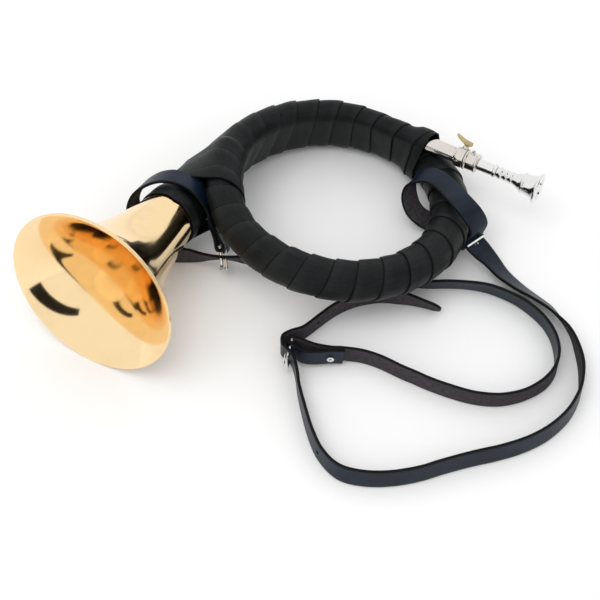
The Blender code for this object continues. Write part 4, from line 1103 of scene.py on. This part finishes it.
class HORN_OT_bell(bpy.types.Operator):
    """Turned bell with its stem, and the wire bead round its edge"""

    bl_idname = "hunting_horn.bell"
    bl_label = "Bell"

    def execute(self, context):
        brass = polished_metal("gold_brass", colours().gold_brass, 0.07, 0.86)
        sides = sizes().bell_sides
        place = lay_along(BELL_CENTRE, BELL_AXIS)
        outer = []
        for step in range(BELL_STEPS + 1):
            behind = FLARE_START + (BELL_STEM - FLARE_START) * (step / BELL_STEPS) ** BELL_CROWDING
            outer.append((bell_radius(behind), -behind))
        profile = outer[1:]
        profile += [(radius - BELL_WALL, height) for radius, height in reversed(outer)]
        profile += [(bell_radius(behind) - BELL_WALL, -behind) for behind in LIP_INSIDE]
        profile += [(BELL_RADIUS - inwards, height) for inwards, height in LIP_EDGE]
        profile += [(bell_radius(behind) - LIP_BACK, -behind - LIP_DEPTH) for behind in LIP_OUTSIDE]
        bell = turned("bell", profile, sides, place)
        finish_piece(bell, brass, "horn", "bell_flare")

        bead = []
        for step in range(BEAD_STEPS):
            angle = -math.tau * step / BEAD_STEPS
            bead.append((
                BELL_RADIUS - BEAD_IN + BEAD * math.cos(angle), BEAD * math.sin(angle) - BEAD_BEHIND,
            ))
        rim = turned("bell_bead", bead, sides, place)
        finish_piece(rim, brass, "horn", "bell_rim_wire")
        return {"FINISHED"}


def single_section(place, angle, lift):
    """Point on a round section of the path, with the angle measured from the outward side."""
    forward = path_forward(place)
    side = forward.cross(Vector((0, 0, 1))).normalized()
    up = side.cross(forward)
    radius = path_radius(place) + WRAP_GAP + lift
    return path_point(place) + radius * (math.cos(angle) * side + math.sin(angle) * up)


def shared_extra(place):
    """The shared wrap widens at both ends, where it passes over the other wraps."""
    start, end = SHARED_WRAP
    inside = min(place - start, end - place)
    share = (SHARED_MOUTH + SHARED_TAPER - inside) / SHARED_TAPER
    return SHARED_PLAY + SHARED_LIFT * clamped(share)


def shared_section(place, angle, lift):
    """Point on the hull round both tubes, with the angle measured from the outward side."""
    start, end = SHARED_WRAP
    share = (place - start) / (end - start)
    upper_place = SHARED_PIPE[0] + share * (SHARED_PIPE[1] - SHARED_PIPE[0])
    lower = path_point(place)
    upper = path_point(upper_place)
    forward = (path_forward(place) + path_forward(upper_place)).normalized()
    between = upper - lower
    up = (between - forward * between.dot(forward)).normalized()
    side = forward.cross(up)
    normal = math.cos(angle) * side + math.sin(angle) * up
    upper_reach = between.dot(normal) + path_radius(upper_place)
    lower_reach = path_radius(place)
    upper_share = clamped(0.5 + (upper_reach - lower_reach) / HULL_BLEND)
    centre = lower.lerp(upper, upper_share)
    radius = lower_reach + (path_radius(upper_place) - lower_reach) * upper_share
    return centre + (radius + WRAP_GAP + lift + shared_extra(place)) * normal


def straight_end(angle):
    return 0.0


def hood_end(angle):
    """How much further the hood's top reaches along the single tube, by the angle round it."""
    degrees = math.degrees(angle) % 360
    share = eased((degrees - HOOD_FROM) / HOOD_EASE) * eased((HOOD_TO - degrees) / HOOD_EASE)
    return (HOOD_REACH + HOOD_SLANT * degrees) * share


def ragged_end(angle):
    """Uneven cut where the strip ends on the bell's throat."""
    ring = Vector((math.cos(angle), math.sin(angle), 0.0))
    return RAGGED * (noise.noise(ring * 2.2) + 0.25 * noise.noise(ring * 6.0) - 0.3)


def wound(name, section, span, seed, material, node, end_shift=straight_end):
    """Leather strip wound in a helix, each turn lapping over the last one, with a closed bore inside."""
    start, end = span
    sides = sizes().wrap_sides
    leather = sizes().leather
    turns = max(1, round((end - start) / sizes().wrap_pitch))
    pitch = (end - start) / turns
    rows = len(STRIP_ROWS)
    shift = Vector((seed * 1.7, seed * 3.1, seed * 0.9))
    vertices = []
    # Each point's height on the step, depth in the crease (which is painted dark as shade), place across the
    # strip and along it
    marks = []

    def stray(column):
        """Uneven laying of the strip: how far its edge strays along the tube."""
        return STRAY * noise.noise(Vector((column / sides * STRAY_PACE, seed * 5.3, 0.0)))

    longest = max(end_shift(math.tau * k / sides) for k in range(sides))
    last = (turns + math.ceil(max(longest, 0.0) / pitch)) * sides
    for g in range(-sides, last + 1):
        angle = math.tau * g / sides
        reach = end + end_shift(angle)
        for share, rise, crease_shade in STRIP_ROWS:
            drift = (1 - share) * stray(g) + share * stray(g + sides)
            held = min(max(start + pitch * (g / sides + share) + drift, start), reach)
            free = clamped(min(held - start, reach - held) / (pitch * END_FADE))
            base = section(held, angle, leather)
            fold = sum(noise.noise(base * close + shift) * depth for close, depth in FOLDS)
            lap = sizes().overlap * (LAP_LEAST + LAP_VARIES * noise.noise(base * LAP_CLOSE - shift))
            lift = leather + (rise * lap + fold * (1.0 - crease_shade)) * free
            vertices.append(section(held, angle, lift))
            marks.append((clamped(rise), crease_shade * free, share * pitch * MAP_DEGREE, g / sides * MAP_TURN))
    count = last + sides
    faces = []
    for c in range(count):
        for r in range(rows):
            low = c * rows + r
            low_next = low + rows
            if r + 1 < rows:
                high = low + 1
            elif c + sides + 1 <= count:
                high = (c + sides) * rows
            else:
                continue
            faces.append((low, low_next, high + rows, high))
    bore = len(vertices)
    bore_steps = max(8, round((end - start) / 3.0))
    for step in range(bore_steps + 1):
        for k in range(sides):
            angle = math.tau * k / sides
            place = start + (end + end_shift(angle) - start) * step / bore_steps
            vertices.append(section(place, angle, 0.0))
            # The bore is marked as fully in the crease, so it is painted dark as shade
            marks.append((0.0, 1.0, 0.0, 0.0))
    for step in range(bore_steps):
        for k in range(sides):
            a = bore + step * sides + k
            b = bore + step * sides + (k + 1) % sides
            faces.append((a, a + sides, b + sides, b))
    for at_end, first_bore in ((False, bore), (True, bore + bore_steps * sides)):
        first = len(vertices)
        for k in range(sides):
            angle = math.tau * k / sides
            place = end + end_shift(angle) if at_end else start
            vertices.append(section(place, angle, leather))
            # The strip's cut ends are marked as in the crease, so they are painted dark as shade
            marks.append((0.3, 0.8, 0.0, 0.0))
        for k in range(sides):
            following = (k + 1) % sides
            faces.append((first + k, first + following, first_bore + following, first_bore + k))
    item = mesh_piece(name, [LAID @ vertex for vertex in vertices], faces)
    mark_strip(item.data, marks, pitch)
    repair(item.data, WRAP_MERGE)
    soften(item, 60)
    finish_piece(item, material, "horn", node)


def mark_strip(mesh, marks, pitch):
    """Note on the mesh where the strip is raised and where it is creased, for the painted shade in the
    creases, and map it along the strip.
    """
    raised = mesh.attributes.new("raised", "FLOAT", "POINT")
    crease_shade = mesh.attributes.new("crease_shade", "FLOAT", "POINT")
    for i, mark in enumerate(marks):
        raised.data[i].value = mark[0]
        crease_shade.data[i].value = mark[1]
    width = pitch * MAP_DEGREE
    spread = pitch * MAP_SPREAD
    uv = mesh.uv_layers.new(name="strip")
    for polygon in mesh.polygons:
        corners = [marks[mesh.loops[loop].vertex_index] for loop in polygon.loop_indices]
        # A face that joins the strip's two edges takes the far edge's side of the map
        joins = max(c[2] for c in corners) - min(c[2] for c in corners) > spread
        for loop, corner in zip(polygon.loop_indices, corners):
            across = width if joins and corner[2] < spread / 2 else corner[2]
            uv.data[loop].uv = (across, corner[3])


class HORN_OT_wraps(bpy.types.Operator):
    """Leather strips wound round the coil, round both tubes where they meet, and round the bell's stem"""

    bl_idname = "hunting_horn.wraps"
    bl_label = "Wound Leather"

    def execute(self, context):
        leather = wound_leather()
        wound("ring_wrap", single_section, RING_WRAP, 1.0, leather, "leather_wrap_ring")
        wound("shared_wrap", shared_section, SHARED_WRAP, 2.0, leather, "leather_wrap_shared", hood_end)
        wound("tail_wrap", single_section, TAIL_WRAP, 3.0, leather, "leather_wrap_tail", ragged_end)
        return {"FINISHED"}


def post(name, radius, foot, top, place):
    """Short turned post with a soft foot and a rounded rim."""
    profile = [
        (radius + 0.0006, foot), (radius, foot + 0.0008), (radius, top - 0.0002), (radius - 0.0003, top),
        (radius * 0.45, top), (radius * 0.4, top - 0.0004), (radius * 0.4, foot),
    ]
    return turned(name, rounded(profile, 0.0004, 3), POST_SIDES, place)


def weld(item, other):
    """Join two pieces into one object."""
    alone(item)
    other.select_set(True)
    bpy.ops.object.join()
    return item


class HORN_OT_mouthpipe(bpy.types.Operator):
    """Sleeve with its two collars, boss and lug, and the tuning slide inside it"""

    bl_idname = "hunting_horn.mouthpipe"
    bl_label = "Mouthpipe and Slide"

    def execute(self, context):
        nickel = polished_metal("nickel_silver", colours().nickel, 0.09, 0.82)
        silver = polished_metal("slide_silver", colours().silver, 0.07, 0.84)
        sides = sizes().pipe_sides
        place = lay_along(PIPE_START, PIPE_AXIS)
        end = SLEEVE_END
        sleeve = turned("sleeve", rounded([
            (SLEEVE_BORE, 0.02), (SLEEVE_BORE, end), (SLEEVE_RADIUS, end), (SLEEVE_RADIUS, 0.03),
            (SLEEVE_RADIUS, 0.001), (SLEEVE_BORE, 0.001),
        ], 0.0002, 3), sides, place)
        finish_piece(sleeve, nickel, "horn", "slide_sleeve")

        bore = SLEEVE_RADIUS + PLAY
        start, stop = COLLAR_START, COLLAR_END
        collar = turned("collar", rounded([
            (bore, 0.075), (bore, start), (0.0070, start), (0.0073, start + 0.0006),
            (0.0078, start + 0.0014), (0.0082, start + 0.0016), (0.0083, start + 0.0022),
            (0.0087, start + 0.0032), (0.0088, start + 0.0045), (0.0088, stop - 0.0026),
            (0.0086, stop - 0.0016), (0.0086, stop - 0.0006), (0.0083, stop), (bore, stop),
        ], 0.0006, 3), sides, place)
        boss = post("boss", BOSS_RADIUS, BOSS_FOOT, BOSS_TOP, pipe_matrix(SCREW_PLACE, SCREW_LEAN))
        finish_piece(weld(collar, boss), nickel, "horn", "sleeve_collar")

        after = stop + PLAY
        end_collar = turned("end_collar", rounded([
            (bore, stop + 0.004), (bore, after), (0.0083, after), (0.0089, stop + 0.0006),
            (0.0089, stop + 0.0018), (0.0082, stop + 0.0022), (0.0077, stop + 0.0026),
            (0.0077, end - 0.0020), (0.0085, end - 0.0016), (0.0085, end - 0.0005), (0.0080, end),
            (bore, end),
        ], 0.0005, 3), sides, place)
        lug = post("lug", LUG_RADIUS, BOSS_FOOT, LUG_TOP, pipe_matrix(LUG_PLACE, LUG_LEAN))
        finish_piece(weld(end_collar, lug), nickel, "horn", "sleeve_end_collar")

        tip = SLIDE_END
        slide = turned("slide", rounded([
            (SLIDE_BORE, SLIDE_START + 0.02), (SLIDE_BORE, SLIDE_START), (SLIDE_RADIUS, SLIDE_START),
            (SLIDE_RADIUS, tip - 0.0030), (0.0057, tip - 0.0024), (0.0057, tip - 0.0006), (0.0053, tip),
            (SLIDE_BORE, tip),
        ], 0.0005, 3), sides, place)
        finish_piece(slide, silver, "slide", "tuning_slide")
        return {"FINISHED"}


class HORN_OT_mouthpiece(bpy.types.Operator):
    """Turned mouthpiece with its beads, cup and throat"""

    bl_idname = "hunting_horn.mouthpiece"
    bl_label = "Mouthpiece"

    def execute(self, context):
        silver = polished_metal("mouthpiece_silver", colours().silver, 0.06, 0.84)
        outline = MOUTHPIECE_OUTSIDE + MOUTHPIECE_INSIDE
        profile = [(radius / 1000, height / 1000) for radius, height in outline]
        place = lay_along(PIPE_START + PIPE_AXIS * MOUTHPIECE_START, PIPE_AXIS)
        piece = turned("mouthpiece_cup", rounded(profile, 0.0016, 4), sizes().pipe_sides + 32, place)
        finish_piece(piece, silver, "mouthpiece", "mouthpiece")
        return {"FINISHED"}


class HORN_OT_wing_screw(bpy.types.Operator):
    """Brass screw with a long flat wing that clamps the slide"""

    bl_idname = "hunting_horn.wing_screw"
    bl_label = "Wing Screw"

    def execute(self, context):
        brass = polished_metal("screw_brass", colours().screw_brass, 0.16, 0.55, 0.00003)
        place = pipe_matrix(SCREW_PLACE, SCREW_LEAN)
        profile = [(0.0, SCREW_HEAD[0][1] / 1000)]
        profile += [(radius / 1000, height / 1000) for radius, height in SCREW_HEAD]
        profile += [
            (BOSS_RADIUS - 0.0004, BOSS_TOP + PLAY), (SCREW_RADIUS, BOSS_TOP + PLAY),
            (SCREW_RADIUS, SCREW_FOOT), (SCREW_RADIUS - 0.0003, SCREW_FOOT - 0.0002),
            (0.0, SCREW_FOOT - 0.0002),
        ]
        head = turned("wing_screw_brass", rounded(profile, 0.0005, 3), 40, place)
        wing = self.wing(place)
        finish_piece(weld(head, wing), brass, "wing_screw", "wing_screw")
        return {"FINISHED"}

    def wing(self, place):
        """Flat wing pulled out of one rectangle through its sections, then bevelled and rounded."""
        deselect()
        bpy.ops.mesh.primitive_plane_add(size=1.0)
        item = bpy.context.object
        item.name = "wing"
        along, middle, tall, wide = WING_SECTIONS[0]
        corners = ((-wide, -tall), (wide, -tall), (-wide, tall), (wide, tall))
        for vertex, (y, z) in zip(item.data.vertices, corners):
            vertex.co = (along / 1000, y / 1000, (middle + z) / 1000)
        open_mesh()
        for last, section in zip(WING_SECTIONS, WING_SECTIONS[1:]):
            pull(((section[0] - last[0]) / 1000, 0, (section[1] - last[1]) / 1000))
            bpy.ops.transform.resize(
                value=(1.0, section[3] / last[3], section[2] / last[2]),
                center_override=(section[0] / 1000, 0, section[1] / 1000),
            )
        close_mesh(0)
        modify(item, "BEVEL", {"width": WING_EDGE, "segments": 2})
        modify(item, "SUBSURF", {"levels": 2, "render_levels": 2})
        return settle(item, place, 60)


class HORN_OT_inner_tubes(bpy.types.Operator):
    """Duller brass on the tubes and stays that the leather covers"""

    bl_idname = "hunting_horn.inner_tubes"
    bl_label = "Inner Tubes"

    def execute(self, context):
        brass = polished_metal("tube_brass", colours().tube_brass, 0.2, 0.6, 0.00003)
        for node in ("coil_tube_small", "coil_tube_large", "coil_stay_front", "coil_stay_back"):
            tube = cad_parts[node]
            for slot in tube.material_slots:
                slot.material = brass
        return {"FINISHED"}


class HORN_PT_panel(bpy.types.Panel):
    """Steps that make the horn, in order"""

    bl_idname = "HORN_PT_panel"
    bl_label = "Hunting Horn"
    bl_space_type = "VIEW_3D"
    bl_region_type = "UI"
    bl_category = "Hunting Horn"

    def draw(self, context):
        for step in STEPS:
            self.layout.operator(step.bl_idname)
        for group in (sizes(), colours()):
            box = self.layout.box()
            for name in group.__annotations__:
                box.prop(group, name)


STEPS = (
    HORN_OT_stage, HORN_OT_straps, HORN_OT_buckles, HORN_OT_bell, HORN_OT_wraps, HORN_OT_mouthpipe,
    HORN_OT_mouthpiece, HORN_OT_wing_screw, HORN_OT_inner_tubes,
)
CLASSES = (HornSizes, HornColours) + STEPS + (HORN_PT_panel,)


def register():
    for item in CLASSES:
        bpy.utils.register_class(item)
    bpy.types.Scene.hunting_horn_sizes = bpy.props.PointerProperty(type=HornSizes)
    bpy.types.Scene.hunting_horn_colours = bpy.props.PointerProperty(type=HornColours)


def unregister():
    del bpy.types.Scene.hunting_horn_colours
    del bpy.types.Scene.hunting_horn_sizes
    for item in reversed(CLASSES):
        bpy.utils.unregister_class(item)


def main():
    """Make every piece in order."""
    register()
    for step in STEPS:
        group, name = step.bl_idname.split(".")
        getattr(getattr(bpy.ops, group), name)()


if __name__ == "__main__":
    main()
